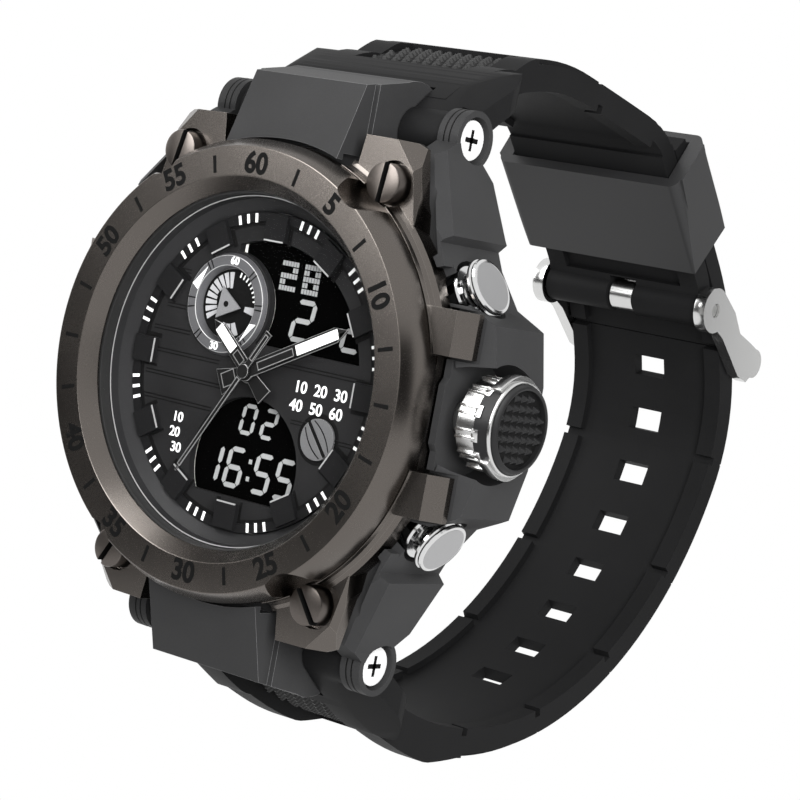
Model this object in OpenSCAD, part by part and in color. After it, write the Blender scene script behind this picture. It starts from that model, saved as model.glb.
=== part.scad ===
// Analogue and digital sports watch on a buckled resin strap.
// The case is drawn lying on its back and stood up by upright(), so that 12 o'clock is +Z,
// the dial looks along -Y, the crown points along +X and the case back's face lies on Y = 0.
// The straps are drawn where they stand, as ribbons along routes in the YZ plane.

/* [Case] */
// Height of the resin case's front face
case_top = 9; // [8.7:0.1:9.4]
// Height of the resin case's rear rim above the case back's face
case_low = 0.8; // [0.5:0.1:1]
// Radius of the round part of the resin case
case_r = 21.8; // [21:0.1:22]
// Thickness of the round case's wall about the module
case_wall = 4.2; // [4:0.1:4.6]
// Reach of the crown guards' outer corners beyond the round case
guard_out = 4.2; // [3.6:0.1:4.8]
// Distance of the arms' outer faces beside the pushers in from the round case's side
arm_in = 1.8; // [1.3:0.1:2.3]
// Reach of the lug bars beyond the round case
lug_reach = 4; // [3.6:0.1:5]
// Height of the lug bars above the case back's face
lug_h = 2.5; // [2.2:0.1:3.5]
// Radius of the round lug bosses
lug_r = 2.9; // [2.6:0.1:3]
// Inner face of the lug bosses, from the middle
lug_in = 12.9; // [12.8:0.1:13.2]
// Thickness of the lug bosses
lug_w = 2.4; // [2.2:0.1:3]
// Radius of the lug bars
lug_bar_r = 0.9; // [0.7:0.05:1]
// Half of the width of the hoods at 12 and 6 o'clock
hood_x = 7.6; // [6.5:0.1:7.6]
// Radius of the hoods' rounded rear end about the lug bars
hood_r = 4.9; // [4.7:0.1:5.2]

/* [Bezel] */
// Reach of the bezel ring beyond the round case
bezel_over = 0.6; // [0.4:0.1:0.8]
// Height of the bezel ring's flat face above the crystal
bezel_lip = 1.9; // [1.5:0.1:2.4]
// Width of the bezel ring's outer chamfer
bezel_chamfer_w = 0.9; // [0.5:0.1:1.2]
// Width of the bezel ring's flat face
bezel_face_w = 2.9; // [2.6:0.1:3.2]
// Thickness of the metal frame under the ring
frame_t = 2; // [1.6:0.1:2.2]
// Distance of the four slotted screws in from the round case's ends at 12 and 6 o'clock
bezel_screw_in = 1.6; // [1.4:0.05:1.8]
// Radius of the slotted screws' heads
bezel_screw_r = 1.95; // [1.6:0.05:2]
// Height of the slotted screws' heads above the frame
bezel_screw_proud = 1.5; // [1:0.1:1.8]

/* [Crystal and dial] */
// Distance from the bezel ring's outer wall in to the crystal's edge
crystal_in = 5.2; // [5.1:0.05:5.35]
// Thickness of the crystal
crystal_t = 1.3; // [1:0.1:1.4]
// Height of the dial's face above the resin case
dial_up = 1.5; // [1.3:0.1:1.7]
// Distance from the crystal's edge in to the dial's edge
dial_in = 1.55; // [1.4:0.05:1.7]
// Thickness of the dial plate
dial_t = 0.8; // [0.5:0.1:0.9]
// Height of the sloping ring round the dial
flange_h = 2; // [1.8:0.1:2.1]
// Outer radius of the small dial's ring, as a share of the dial's radius
sub_share = 0.326; // [0.31:0.002:0.33]
// Width of the small dial's ring
sub_ring_w = 1.2; // [1:0.1:1.4]

/* [Controls] */
// Height of the crown's and pushers' axes above the case back's face
control_h = 6.3; // [6.1:0.1:6.5]
// Angle of the pushers from 3 o'clock
pusher_turn = 28.5; // [27.5:0.5:29.5]
// Reach of a pusher's face beyond the round case
pusher_out = 4.5; // [4.3:0.1:5]
// Radius of a pusher's face
pusher_r = 2.9; // [2.6:0.1:3]
// Travel of a pusher
pusher_travel = 1; // [0.8:0.1:1]
// Reach of the crown's face beyond the round case
crown_out = 7.6; // [7.2:0.1:8.2]
// Outer radius of the crown
crown_r = 5; // [4.7:0.1:5.1]
// Distance that the crown pulls out to set the hands
crown_pull = 1.2; // [0.8:0.1:1.4]

/* [Hands] */
// Length of the hour hand
hour_l = 6.9; // [6.4:0.1:7.2]
// Length of the minute hand
minute_l = 13; // [12.6:0.1:13.4]
// Length of the second hand
second_l = 12.7; // [12.2:0.1:13.2]
// Length of the second hand's tail
second_tail = 4.8; // [4:0.1:5.2]

/* [Strap] */
// Half of the strap's width
strap_x = 10.3; // [9.8:0.1:10.3]
// Reach of the strap's shoulders beyond the lug bosses' inner faces
shoulder_over = 1.2; // [0.5:0.1:1.3]
// Thickness of the strap outside its route
strap_out = 1.5; // [1.3:0.1:1.6]
// Thickness of the strap inside its route
strap_in = 0.9; // [0.8:0.05:1]
// Height of the rails along the strap's inner edges
rail_h = 0.8; // [0.5:0.1:1]
// Width of the rails along the strap's inner edges
rail_w = 2.1; // [1.6:0.1:2.6]
// Distance between the strap's joints on the long half
long_pitch = 14.05; // [13.95:0.05:14.1]
// Distance between the strap's joints on the short half
short_pitch = 13.5; // [13:0.1:13.8]
// Distance between the strap's holes
hole_pitch = 6.85; // [6.8:0.01:6.9]
// Width of a strap hole
hole_w = 4.1; // [3.6:0.1:4.4]
// Length of a strap hole along the strap
hole_l = 2.5; // [2.4:0.1:2.7]
// Length of the keeper along the strap
keeper_l = 12.3; // [11:0.1:12.6]
// Thickness of the keeper's walls
keeper_t = 1.1; // [0.9:0.05:1.3]
// Free travel of the keeper either way
keeper_travel = 2; // [1:0.1:2]

/* [Buckle] */
// Radius of the buckle's spring bar
pin_r = 0.75; // [0.6:0.05:0.9]
// Radius of the strap's rolled end round the spring bar
knuckle_r = 2.1; // [1.9:0.05:2.2]
// Thickness of the buckle's arms
arm_t = 1.4; // [1:0.1:1.6]
// Distance of the buckle's outer bar from the spring bar, away from the case
bar_y = 10.9; // [10.8:0.1:11.4]
// Drop of the buckle's outer bar below the spring bar
bar_drop = 5.3; // [5:0.1:5.5]
// Radius of the buckle's outer bar
bar_r = 1.25; // [1:0.05:1.3]
// Width of the tongue
tongue_w = 2.4; // [1.8:0.1:2.6]
// Thickness of the tongue
tongue_t = 1; // [0.8:0.1:1.1]

/* [Clearances] */
// Radial clearance of a pin or stem that turns or slides in its bore
run_gap = 0.06; // [0.03:0.01:0.09]
// Gap between pieces that move past each other
move_gap = 0.3; // [0.25:0.05:0.4]
// Gap between a fixed piece and the pocket that it drops into
seat_gap = 0.05; // [0.03:0.01:0.1]

/* [Hidden] */
$fn = 96;
eps = 0.01;
far = 60;

cavity_r = case_r - case_wall;
guard_x = case_r + guard_out;
arm_x = case_r - arm_in;
lug_y = case_r + lug_reach;
lug_out = lug_in + lug_w;
shoulder_x = lug_in + shoulder_over;
bezel_r = case_r + bezel_over;
bezel_screw_x = lug_in;
bezel_screw_y = case_r - bezel_screw_in;
pusher_reach = case_r + pusher_out;
crown_reach = case_r + crown_out;
frame_top = case_top + frame_t;
bezel_flat_r = bezel_r - bezel_chamfer_w;
bezel_mouth_r = bezel_flat_r - bezel_face_w;
crystal_r = bezel_r - crystal_in;
dial_r = crystal_r - dial_in;
dial_h = case_top + dial_up;
crystal_low = dial_h + flange_h;
crystal_top = crystal_low + crystal_t;
bezel_top = crystal_top + bezel_lip;
sub_r = sub_share * dial_r;
sub_well_r = sub_r - sub_ring_w;
sub_x = -0.307 * dial_r;
sub_y = 0.383 * dial_r;
screw_at = [0.594 * dial_r, -0.313 * dial_r];
screw_well_r = 0.16 * dial_r;
bell_at = [0.04 * dial_r, -0.588 * dial_r];
bell_r = 0.4345 * dial_r;
ring_bore_r = crystal_r + 0.7;
ring_lip_r = crystal_r + 0.16;
back_t = 1.4;
back_r = cavity_r + 1.3;
back_screw_d = back_r + 0.5;
back_tab_r = 1.9;
board_h = 4;
board_t = 0.8;
battery_r = 10;
battery_h = 2.05;
battery_t = 1.6;
module_r = cavity_r - 2.3;
module_low = board_h + board_t;
module_top = dial_h - dial_t;
movement_r = 3.2;
movement_neck_r = 1.9;
lcd_top = module_top - 0.3;
lcd_t = 1;

hour_z = dial_h + 0.72;
minute_z = hour_z + 0.42;
second_z = minute_z + 0.38;
hand_t = 0.22;
hour_pipe_r = 0.8;
minute_pipe_r = 0.5;
second_arbor_r = 0.22;
hour_turn = 309;
minute_turn = 62.6;
second_turn = 210;

stem_r = 0.8;
collar_r = 2.55;
collar_base = pusher_reach - 5.9;
collar_top = pusher_reach - 0.95 - pusher_travel - 0.15;
spring_pocket_r = 1.5;
wall_stem_r = stem_r + run_gap;
pusher_recess = pusher_reach - 5.1;
pusher_in = cavity_r - 0.55;

crown_stem_r = 0.9;
crown_tube_r = 1.9;
crown_seal_r = 1.35;
crown_base = crown_reach - 4.9;
crown_tube_end = crown_reach - 2.8;
crown_seal = crown_reach - 4.9;
crown_recess = crown_base - 1.8;
crown_wall_x = crown_recess - 0.9;
crown_neck_r = crown_r - 1.2;
plate_y = lug_y - 1.3;
crown_drum_r = crown_r - 0.6;
grip_r = crown_r - 0.95;
lever_x = 13.6;
lever_t = 0.6;
stem_neck_r = 0.5;

knuckle_lug_r = lug_r - 0.4;
lug_bore_r = lug_bar_r + run_gap;
hood_clear_r = hood_r + move_gap;
boss_clear_r = lug_r + move_gap;

// The short half's route from the lug bar at 12: [length, turn] of each stretch, towards the buckle
keeper_run = keeper_l + 2 * keeper_travel + 0.7;
route_lug_y = 25.8; // the routes' lengths are given for lug bars this far out
route_k = lug_y / route_lug_y;
joint_step = long_pitch * route_k;
short_step = short_pitch * route_k;
hole_step = hole_pitch * route_k;
short_start = [-lug_h, lug_y, 46.7];
short_route = [[28 * route_k, -56.5], [13.7 * route_k, -1], [4.4 * route_k, -35],
    [keeper_run * route_k, 0], [4.2 * route_k, -34.6]];
short_to_keeper = short_route[0][0] + short_route[1][0] + short_route[2][0];
short_length = short_to_keeper + short_route[3][0] + short_route[4][0];
pin_end = along(short_start, short_route, short_length);
pin_at = [pin_end[0], pin_end[1]];
keeper_at = along(short_start, short_route, short_to_keeper);

// The long half's route from the lug bar at 6, round the wrist and into the keeper's line
thin_in = 1.2;
thin_out = 1.2;
tail_out = 1.3;
channel_deep = 0.9;
tail_lift = thin_out + 0.2 + strap_in;
tail_line = beside(keeper_at, tail_lift);
tail_heading = keeper_at[2] + 180;
long_start = [-lug_h, -lug_y, -41.5];
long_bend = [[43 * route_k, 61.6], [38.8 * route_k, 54.4], [12.9 * route_k, 38.5]];
bend_length = long_bend[0][0] + long_bend[1][0] + long_bend[2][0];
bend_end = along(long_start, long_bend, bend_length);
last_turn = tail_heading - bend_end[2];
to_line = meet(bend_end, tail_line, tail_heading);
last_arc = to_line / tan(last_turn / 2) * last_turn * PI / 180;
tail_meets = along(bend_end, [[last_arc, last_turn]], last_arc);
tail_run = norm([tail_line[0] - tail_meets[0], tail_line[1] - tail_meets[1]]) - 0.4;
long_route = concat(long_bend, [[last_arc, last_turn], [tail_run, 0]]);
long_length = bend_length + last_arc + tail_run;
first_joint = 26.7 * route_k;
joints = 5;
fifth_joint = first_joint + (joints - 1) * joint_step + 1.2;
split_s = fifth_joint + joint_step + 0.5;
short_joint = 14;
shoulder_out = 2.45;
shoulder_l = 14.4;
shoulder_slope = 26;
window_x = 7;
window_floor = 0.7;
split_gap = 0.15;
last_hole = 94.3 * route_k;
seen_holes = 8;
tongue_hole = last_hole + hole_step + 0.7;
hole_at = along(long_start, long_route, tongue_hole);

bar_at = [pin_at[0] + bar_y, pin_at[1] - bar_drop];
frame_in = strap_x + 0.2;
frame_out = frame_in + arm_t;

function step_on(p, l, turn) = abs(turn) < 0.001
    ? [p[0] + l * cos(p[2]), p[1] + l * sin(p[2]), p[2]]
    : let (r = l * 180 / (turn * PI))
        [p[0] + r * (sin(p[2] + turn) - sin(p[2])),
         p[1] - r * (cos(p[2] + turn) - cos(p[2])),
         p[2] + turn];
function along(p, route, s, i = 0) = s <= route[i][0] || i == len(route) - 1
    ? step_on(p, s, route[i][1] * s / route[i][0])
    : along(step_on(p, route[i][0], route[i][1]), route, s - route[i][0], i + 1);
function beside(p, d) = [p[0] - d * sin(p[2]), p[1] + d * cos(p[2])];
function meet(p, q, heading) =
    ((q[0] - p[0]) * sin(heading) - (q[1] - p[1]) * cos(heading)) / sin(heading - p[2]);
function places(s0, s1, step) =
    let (n = max(1, round((s1 - s0) / step))) [for (i = [0:n]) s0 + (s1 - s0) * i / n];
function turned_back(v) = [for (i = [len(v) - 1:-1:0]) v[i]];

module upright() {
    rotate([90, 0, 0]) children();
}

module across(x0, x1) {
    rotate([90, 0, 90]) translate([0, 0, x0]) linear_extrude(x1 - x0) children();
}

module across_lying(x0, x1) {
    rotate([90, 0, 90]) translate([0, 0, x0]) linear_extrude(x1 - x0) children();
}

module four_ways() {
    for (x = [0, 1], y = [0, 1]) mirror([x, 0, 0]) mirror([0, y, 0]) children();
}

module out_from(turn, reach) {
    rotate([0, 0, turn]) translate([reach, 0, control_h]) rotate([0, 90, 0]) children();
}

module rod(r, l) {
    cylinder(r = r, h = l);
}

module disc(r, low, high) {
    translate([0, 0, low]) cylinder(r = r, h = high - low);
}

module ring_of(points) {
    rotate_extrude($fn = 180) polygon(points);
}

module bar_x(y, h, r, x0, x1) {
    translate([x0, y, h]) rotate([0, 90, 0]) cylinder(r = r, h = x1 - x0);
}

pusher_turns = [pusher_turn, -pusher_turn, 180 + pusher_turn, 180 - pusher_turn];

module arm_plan() {
    polygon([[lug_in, case_r - 1.8], [lug_in, lug_y], [lug_out, lug_y],
        [lug_out + 0.2, lug_y - 1.6], [arm_x, lug_y - 9.3], [arm_x - 0.8, lug_y - 10.1],
        [arm_x + 0.2, lug_y - 12.2], [arm_x - 5, lug_y - 13.8]]);
}

module arm_side() {
    polygon([[lug_y - 13.8, case_low], [lug_y - 8.8, case_low], [lug_y - 3.6, case_low - 0.6],
        [lug_y - 2.2, lug_h - 1.4], [lug_y, lug_h], [lug_y - 0.6, lug_h + lug_r],
        [lug_y - 2.1, frame_top - 3.2], [lug_y - 8.7, frame_top - 0.6],
        [lug_y - 13.8, frame_top - 0.6]]);
}

// Everything beyond a sloping plane through a point
module beyond(p, n) {
    translate(p) rotate([0, acos(n[2] / norm(n)), atan2(n[1], n[0])])
        translate([-far / 2, -far / 2, 0]) cube(far);
}

module arm() {
    difference() {
        intersection() {
            linear_extrude(far) arm_plan();
            across_lying(0, far) arm_side();
        }
        beyond([arm_x - 4.5, lug_y - 1.8, case_top - 2], [5.2, 5.4, 6.6]);
    }
    bar_x(lug_y, lug_h, lug_r, lug_in, lug_out);
}

module guard_plan() {
    polygon([[0, 0], [guard_x - 6, 14], [guard_x - 3.4, 10.6], [guard_x - 0.8, 9.4], [guard_x, 9],
        [guard_x + 1.1, 4], [guard_x + 1.1, 0]]);
}

module guard_side() {
    polygon([[0, case_low], [far, case_low], [far, case_top - 0.5], [guard_x + 1.1, case_top - 0.5],
        [guard_x, case_top - 0.2], [guard_x - 1.7, case_top + 0.2], [guard_x - 4, case_top + 1.2],
        [0, case_top + 1.2]]);
}

module guards() {
    intersection() {
        rotate([90, 0, 0]) translate([0, 0, -far / 2]) linear_extrude(far) guard_side();
        for (y = [0, 1]) mirror([0, y, 0]) translate([0, 0, case_low]) {
            linear_extrude(case_top - case_low) guard_plan();
            linear_extrude(case_top) intersection() {
                guard_plan();
                square([far, 10.3]);
            }
        }
    }
}

// The six-sided wall that the crown's tube comes out of
module crown_wall(x0, x1) {
    across_lying(x0, x1) polygon([[-5.3, 2], [-5.3, case_top - 0.6], [-2.8, case_top + 1.3],
        [2.8, case_top + 1.3], [5.3, case_top - 0.6], [5.3, 2]]);
}

module under_frame() {
    circle(r = bezel_r + 1.1);
    for (x = [0, 1], y = [0, 1]) mirror([x, 0]) mirror([0, y]) polygon([[0, 0],
        [0, plate_y + 0.4], [lug_in + 2.5, plate_y + 0.4], [lug_in + 2.6, plate_y - 0.9],
        [arm_x - 2.8, plate_y - 5.2], [arm_x - 1.6, plate_y - 7.4], [arm_x - 0.8, plate_y - 9.9]]);
}

module case_middle() {
    color("dimgray") upright() difference() {
        union() {
            disc(case_r, case_low, case_top);
            translate([0, 0, case_low]) linear_extrude(case_top - case_low)
                square([2 * (lug_in + 0.6), 2 * (case_r + 0.6)], center = true);
            four_ways() arm();
            for (x = [0, 1]) mirror([x, 0, 0]) guards();
            crown_wall(crown_recess - 2.7, crown_recess);
        }
        translate([0, 0, case_top]) linear_extrude(far) difference() {
            under_frame();
            translate([crown_wall_x + 0.15, -5.5]) square([0.75, 11]);
        }
        four_ways() translate([guard_x - 7, 5.2, case_top]) cube([6.1, 4.8, far]);
        disc(cavity_r, -1, far);
        disc(back_r + seat_gap, -1, back_t + seat_gap);
        difference() {
            disc(back_r - 0.5, 0, back_t + 0.6);
            disc(back_r - 1.2, 0, far);
        }
        for (a = [45:90:315]) rotate([0, 0, a]) translate([back_screw_d, 0, -1]) {
            rod(back_tab_r + seat_gap, 1 + back_t + seat_gap);
            rod(0.7 + seat_gap, 1 + 5);
        }
        four_ways() translate([bezel_screw_x, bezel_screw_y, 6]) rod(1 + seat_gap, far);
        for (a = pusher_turns) {
            out_from(a, pusher_recess) rod(pusher_r + move_gap, far);
            out_from(a, 10) rod(wall_stem_r, far);
            out_from(a, collar_base) rod(1.9 + seat_gap, far);
        }
        out_from(0, 10) rod(crown_tube_r + seat_gap, far);
        out_from(0, crown_recess) rod(crown_r + 0.7, far);
        four_ways() {
            bar_x(lug_y, lug_h, lug_bar_r + seat_gap, 0, far);
            bar_x(lug_y, lug_h, bezel_screw_r + 0.35, lug_out - 1.25, far);
        }
    }
}

module hood_side() {
    difference() {
        union() {
            polygon([[case_r - 0.8, case_low], [case_r - 0.8, frame_top + 1.8],
                [case_r + 0.2, frame_top + 1.4], [lug_y + 3.4, frame_top - 1.1],
                [lug_y + hood_r, lug_h + 0.1], [lug_y, lug_h - 2.6], [lug_y - 3.2, case_low - 0.4]]);
            translate([lug_y, lug_h]) circle(r = hood_r);
        }
        translate([10, -20]) square([30, 20 - 0.6]);
    }
}

module hood() {
    difference() {
        union() {
            across_lying(-hood_x, hood_x) intersection() {
                hood_side();
                translate([0, -5]) square([40, 5 + 8.6]);
            }
            across_lying(-hood_x + 0.6, hood_x - 0.6) hood_side();
        }
        disc(case_r + seat_gap, -5, far);
        disc(bezel_r + 1, case_top - seat_gap, frame_top + 0.6);
        disc(bezel_r + 0.4, case_top, far);
        bar_x(lug_y, lug_h, lug_bar_r + seat_gap, -far, far);
        translate([-lug_in - 0.6, 0, case_low - 1])
            cube([2 * (lug_in + 0.6), case_r + 0.6 + seat_gap, case_top - case_low + 1]);
    }
}

module hood_12() {
    color("dimgray") upright() hood();
}

module hood_6() {
    color("dimgray") upright() mirror([0, 1, 0]) hood();
}

// A corner plate: upright in front, its flank spreading towards the middle of the case
module plate() {
    difference() {
        translate([0, 0, case_top]) linear_extrude(frame_t) polygon([
            [hood_x + 0.5, plate_y - 5.5], [hood_x + 1.3, plate_y], [lug_in + 1.4, plate_y - 0.1],
            [lug_in + 2.25, plate_y - 0.5], [lug_in + 3.3, plate_y - 5.6],
            [lug_in + 5.6, plate_y - 10.6], [lug_in - 0.9, plate_y - 10.5]]);
        beyond([lug_in + 1.4, plate_y - 0.1, frame_top - 1.2], [4.2, 3.7, 5.6]);
        beyond([lug_in + 2.8, plate_y - 3.5, frame_top], [0.97, 0.13, 0.24]);
        beyond([lug_in + 3.2, plate_y - 7.2, frame_top], [2.6, 0.6, 2]);
    }
}

module claw() {
    translate([0, 7.6, case_top]) rotate([90, 0, 0]) translate([0, 0, -2.2]) linear_extrude(4.4)
        polygon([[guard_x - 7, 0], [guard_x - 7, 3.2], [guard_x - 5, 3.1], [guard_x - 2.6, 2.5],
            [guard_x - 1.1, 1], [guard_x - 1.1, 0.25], [guard_x - 3, 0]]);
}

module bezel_frame() {
    color("slategray") upright() difference() {
        union() {
            ring_of([[ring_bore_r, case_top], [bezel_r + 0.9, case_top],
                [bezel_r + 0.9, frame_top - 0.1], [bezel_r + 0.45, frame_top + 0.25],
                [bezel_r + 0.2, frame_top + 0.7], [bezel_r + 0.12, frame_top + 1.2],
                [bezel_r + 0.05, frame_top + 1.2], [bezel_r + 0.05, frame_top - 0.5],
                [ring_bore_r, frame_top - 0.5]]);
            ring_of([[ring_bore_r, frame_top - 0.6], [bezel_r + 0.1, frame_top - 0.6],
                [bezel_r + 0.1, frame_top], [ring_bore_r, frame_top]]);
            four_ways() {
                plate();
                claw();
            }
        }
        for (y = [0, 1]) mirror([0, y, 0]) translate([-hood_x - 0.3, case_r - 0.6, 0])
            cube([2 * hood_x + 0.6, 10, far]);
        disc(ring_bore_r, 0, far);
        four_ways() translate([bezel_screw_x, bezel_screw_y, 0]) {
            rod(1 + seat_gap, far);
            translate([0, 0, frame_top - 1]) rod(bezel_screw_r + 0.33, far);
        }
        disc(bezel_r + 0.03, frame_top, far);
        translate([crown_wall_x, -5.5, 0]) cube([far, 11, far]);
        for (a = pusher_turns) out_from(a, pusher_recess) rod(pusher_r + move_gap, far);
    }
}

module bezel_ring() {
    color("slategray") upright() difference() {
        ring_of([[ring_bore_r, frame_top], [bezel_r - 0.2, frame_top], [bezel_r, frame_top + 0.6],
            [bezel_r, bezel_top - 1.7], [bezel_flat_r, bezel_top], [bezel_mouth_r, bezel_top],
            [ring_lip_r, crystal_top + 0.2], [ring_lip_r, crystal_top + seat_gap],
            [ring_bore_r, crystal_top + seat_gap]]);
        four_ways() translate([bezel_screw_x, bezel_screw_y, 0]) rod(bezel_screw_r + 1, far);
    }
}

module bezel_screws() {
    color("slategray") upright() four_ways() translate([bezel_screw_x, bezel_screw_y, 0])
        difference() {
            union() {
                disc(bezel_screw_r, frame_top - 1 + seat_gap, frame_top + bezel_screw_proud);
                disc(1, 6.4, frame_top);
            }
            translate([-0.25, -far, frame_top + bezel_screw_proud - 0.7]) cube([0.5, 2 * far, far]);
        }
}

module crystal() {
    color("white", 0.25) upright() ring_of([[0, crystal_low], [crystal_r, crystal_low],
        [crystal_r, crystal_top - 0.3], [crystal_r - 0.3, crystal_top], [0, crystal_top]]);
}

module crystal_gasket() {
    color("black") upright() ring_of([[crystal_r + 0.02, crystal_low],
        [ring_bore_r - seat_gap, crystal_low], [ring_bore_r - seat_gap, crystal_top - 0.1],
        [crystal_r + 0.02, crystal_top - 0.1]]);
}

module flange_ring() {
    color("black") upright() ring_of([[dial_r + seat_gap, module_top], [ring_bore_r - 0.1, module_top],
        [ring_bore_r - 0.1, crystal_low], [crystal_r - 0.1, crystal_low],
        [crystal_r - 0.3, crystal_low - 1], [dial_r + seat_gap, dial_h]]);
}

module hour_ring() {
    color("black") upright() {
        ring_of([[dial_r - 0.9, dial_h], [dial_r, dial_h], [dial_r, dial_h + 0.25],
            [dial_r - 0.9, dial_h + 0.25]]);
        for (a = [0:30:330]) rotate([0, 0, a]) translate([dial_r - 2.75, -1.3, dial_h])
            cube([2.55, 2.6, 0.65]);
    }
}

module upper_window(grow = 0) {
    intersection() {
        difference() {
            circle(r = dial_r - 2.75 + grow);
            translate([sub_x, sub_y]) circle(r = sub_r + 0.25 - grow);
        }
        translate([sub_x + 0.3, 0.179 * dial_r - grow]) square([far, far]);
    }
}

module lower_window(grow = 0) {
    intersection() {
        translate(bell_at) circle(r = bell_r + grow);
        translate([-far / 2, -0.792 * dial_r - grow]) square([far, 0.767 * dial_r]);
        circle(r = dial_r - 1.45);
    }
}

module dial_plate() {
    color("darkslategray") upright() translate([0, 0, dial_h - dial_t]) linear_extrude(dial_t)
        difference() {
            circle(r = dial_r);
            upper_window();
            lower_window();
            translate([sub_x, sub_y]) circle(r = sub_well_r);
            translate(screw_at) circle(r = screw_well_r);
            circle(r = hour_pipe_r + run_gap);
        }
}

module subdial_ring() {
    color("dimgray") upright() translate([sub_x, sub_y, 0]) difference() {
        ring_of([[0.6, module_top], [sub_well_r - seat_gap, module_top],
            [sub_well_r - seat_gap, dial_h], [sub_r, dial_h], [sub_r - 0.3, dial_h + 0.5],
            [sub_well_r - 0.1, dial_h + 0.5], [sub_well_r - 0.3, dial_h],
            [sub_well_r - 0.3, module_top + 0.2], [0.6, module_top + 0.2]]);
    }
}

module subdial_rotor() {
    color("gray") upright() translate([sub_x, sub_y, 0]) {
        disc(0.25, module_low + 2, dial_h + 0.3);
        translate([0, 0, dial_h - 0.15]) linear_extrude(0.25) difference() {
            polygon([for (a = [20:60:320]) (a % 120 == 20 ? 2.9 : 1.5) * [cos(a), sin(a)]]);
            circle(r = 0.25 - eps);
        }
    }
}

module dial_screw() {
    color("dimgray") upright() translate(screw_at) difference() {
        disc(screw_well_r - 0.5, module_top, dial_h + 0.2);
        rotate([0, 0, 40]) translate([-0.2, -far, dial_h - 0.1]) cube([0.4, 2 * far, far]);
    }
}

module lcd_upper() {
    color("black") upright() translate([0, 0, lcd_top - lcd_t]) linear_extrude(lcd_t) intersection() {
        upper_window(0.2);
        translate([sub_x + 0.4, 0.179 * dial_r - 0.1]) square([far, far]);
    }
}

module lcd_lower() {
    color("black") upright() translate([0, 0, lcd_top - lcd_t]) linear_extrude(lcd_t) lower_window(0.2);
}

zebra_places = [[0.224 * dial_r, 0.652 * dial_r], [-0.185 * dial_r, -0.76 * dial_r]];

module zebra_connectors() {
    color("dimgray") upright() for (p = zebra_places)
        translate([p[0], p[1], module_low]) cube([7, 1.2, lcd_top - lcd_t - module_low]);
}

module module_frame() {
    color("whitesmoke") upright() difference() {
        union() {
            disc(module_r, module_low, module_top);
            disc(cavity_r - 0.3, case_top - 1.2, module_top);
        }
        translate([0, 0, lcd_top - lcd_t - seat_gap]) linear_extrude(far) {
            upper_window(0.3);
            lower_window(0.3);
        }
        for (p = zebra_places)
            translate([p[0] - seat_gap, p[1] - seat_gap, 0]) cube([7.1, 1.3, far]);
        disc(movement_r + seat_gap, 0, lcd_top - lcd_t - 0.2);
        disc(movement_neck_r + seat_gap, 0, far);
        translate([sub_x, sub_y, 0]) rod(0.25 + run_gap, far);
        translate([1.7 - module_r, -3, 0]) cube([2.2, 2.2, far]);
        out_from(0, 11.5) rod(crown_stem_r + 0.2, far);
        translate([lever_x - 0.3, -1.9, 0]) cube([lever_t + crown_pull + 0.6, 3.8, module_top - 0.8]);
    }
}

module circuit_board() {
    color("darkgreen") upright() difference() {
        disc(module_r + 0.6, board_h, module_low);
        translate([lever_x - 0.3, -1.9, 0]) cube([lever_t + crown_pull + 0.6, 3.8, far]);
    }
}

module hand_movement() {
    color("silver") upright() difference() {
        union() {
            disc(movement_r, module_low, lcd_top - lcd_t - 0.25);
            disc(movement_neck_r, module_low, module_top);
        }
        disc(hour_pipe_r + run_gap, module_top - 0.9, far);
        disc(minute_pipe_r + run_gap, module_top - 2, far);
        disc(second_arbor_r + run_gap, module_low + 1, far);
    }
}

module battery() {
    color("silver") upright() ring_of([[0, battery_h], [battery_r - 1.2, battery_h],
        [battery_r - 1.2, battery_h + 0.25], [battery_r, battery_h + 0.25],
        [battery_r, battery_h + battery_t], [0, battery_h + battery_t]]);
}

module battery_clip() {
    color("gold") upright() for (s = [0, 1]) mirror([0, s, 0]) {
        translate([-1.5, battery_r - 2.4, battery_h - 0.25]) cube([3, 2.8, 0.2]);
        translate([-1.5, battery_r + 0.2, battery_h - 0.25]) cube([3, 0.3, board_h - battery_h + 0.25]);
    }
}

module buzzer() {
    color("gold") upright() disc(5.5, back_t, back_t + 0.3);
}

module backlight_led() {
    color("ivory") upright() translate([1.8 - module_r, -2.9, module_low]) cube([2, 2, 1.6]);
}

module case_back() {
    color("silver") upright() difference() {
        union() {
            ring_of([[0, 0], [back_r - 0.5, 0], [back_r, 0.5], [back_r, back_t], [0, back_t]]);
            for (a = [45:90:315]) rotate([0, 0, a]) translate([back_screw_d, 0, 0])
                disc(back_tab_r, 0.4, back_t);
        }
        for (a = [45:90:315]) rotate([0, 0, a]) translate([back_screw_d, 0, -1]) {
            rod(0.75, far);
            rod(1.55, 1.9);
        }
        difference() {
            disc(14.5, -1, 0.2);
            disc(13.9, -2, 1);
        }
    }
}

module case_back_gasket() {
    color("black") upright() ring_of([[back_r - 1.15, back_t], [back_r - 0.55, back_t],
        [back_r - 0.55, back_t + 0.55], [back_r - 1.15, back_t + 0.55]]);
}

module case_back_screws() {
    color("gray") upright() for (a = [45:90:315]) rotate([0, 0, a]) translate([back_screw_d, 0, 0])
        difference() {
            union() {
                disc(1.45, 0.25, 0.85);
                disc(0.65, 0.5, 4.4);
            }
            translate([-far, -0.2, -1]) cube([2 * far, 0.4, 1.55]);
        }
}

module collar_profile() {
    polygon([[spring_pocket_r, collar_base + 0.5], [1.9, collar_base], [1.9, pusher_recess + 0.6],
        [collar_r, collar_top - 0.5], [collar_r, collar_top], [spring_pocket_r, collar_top]]);
}

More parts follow.
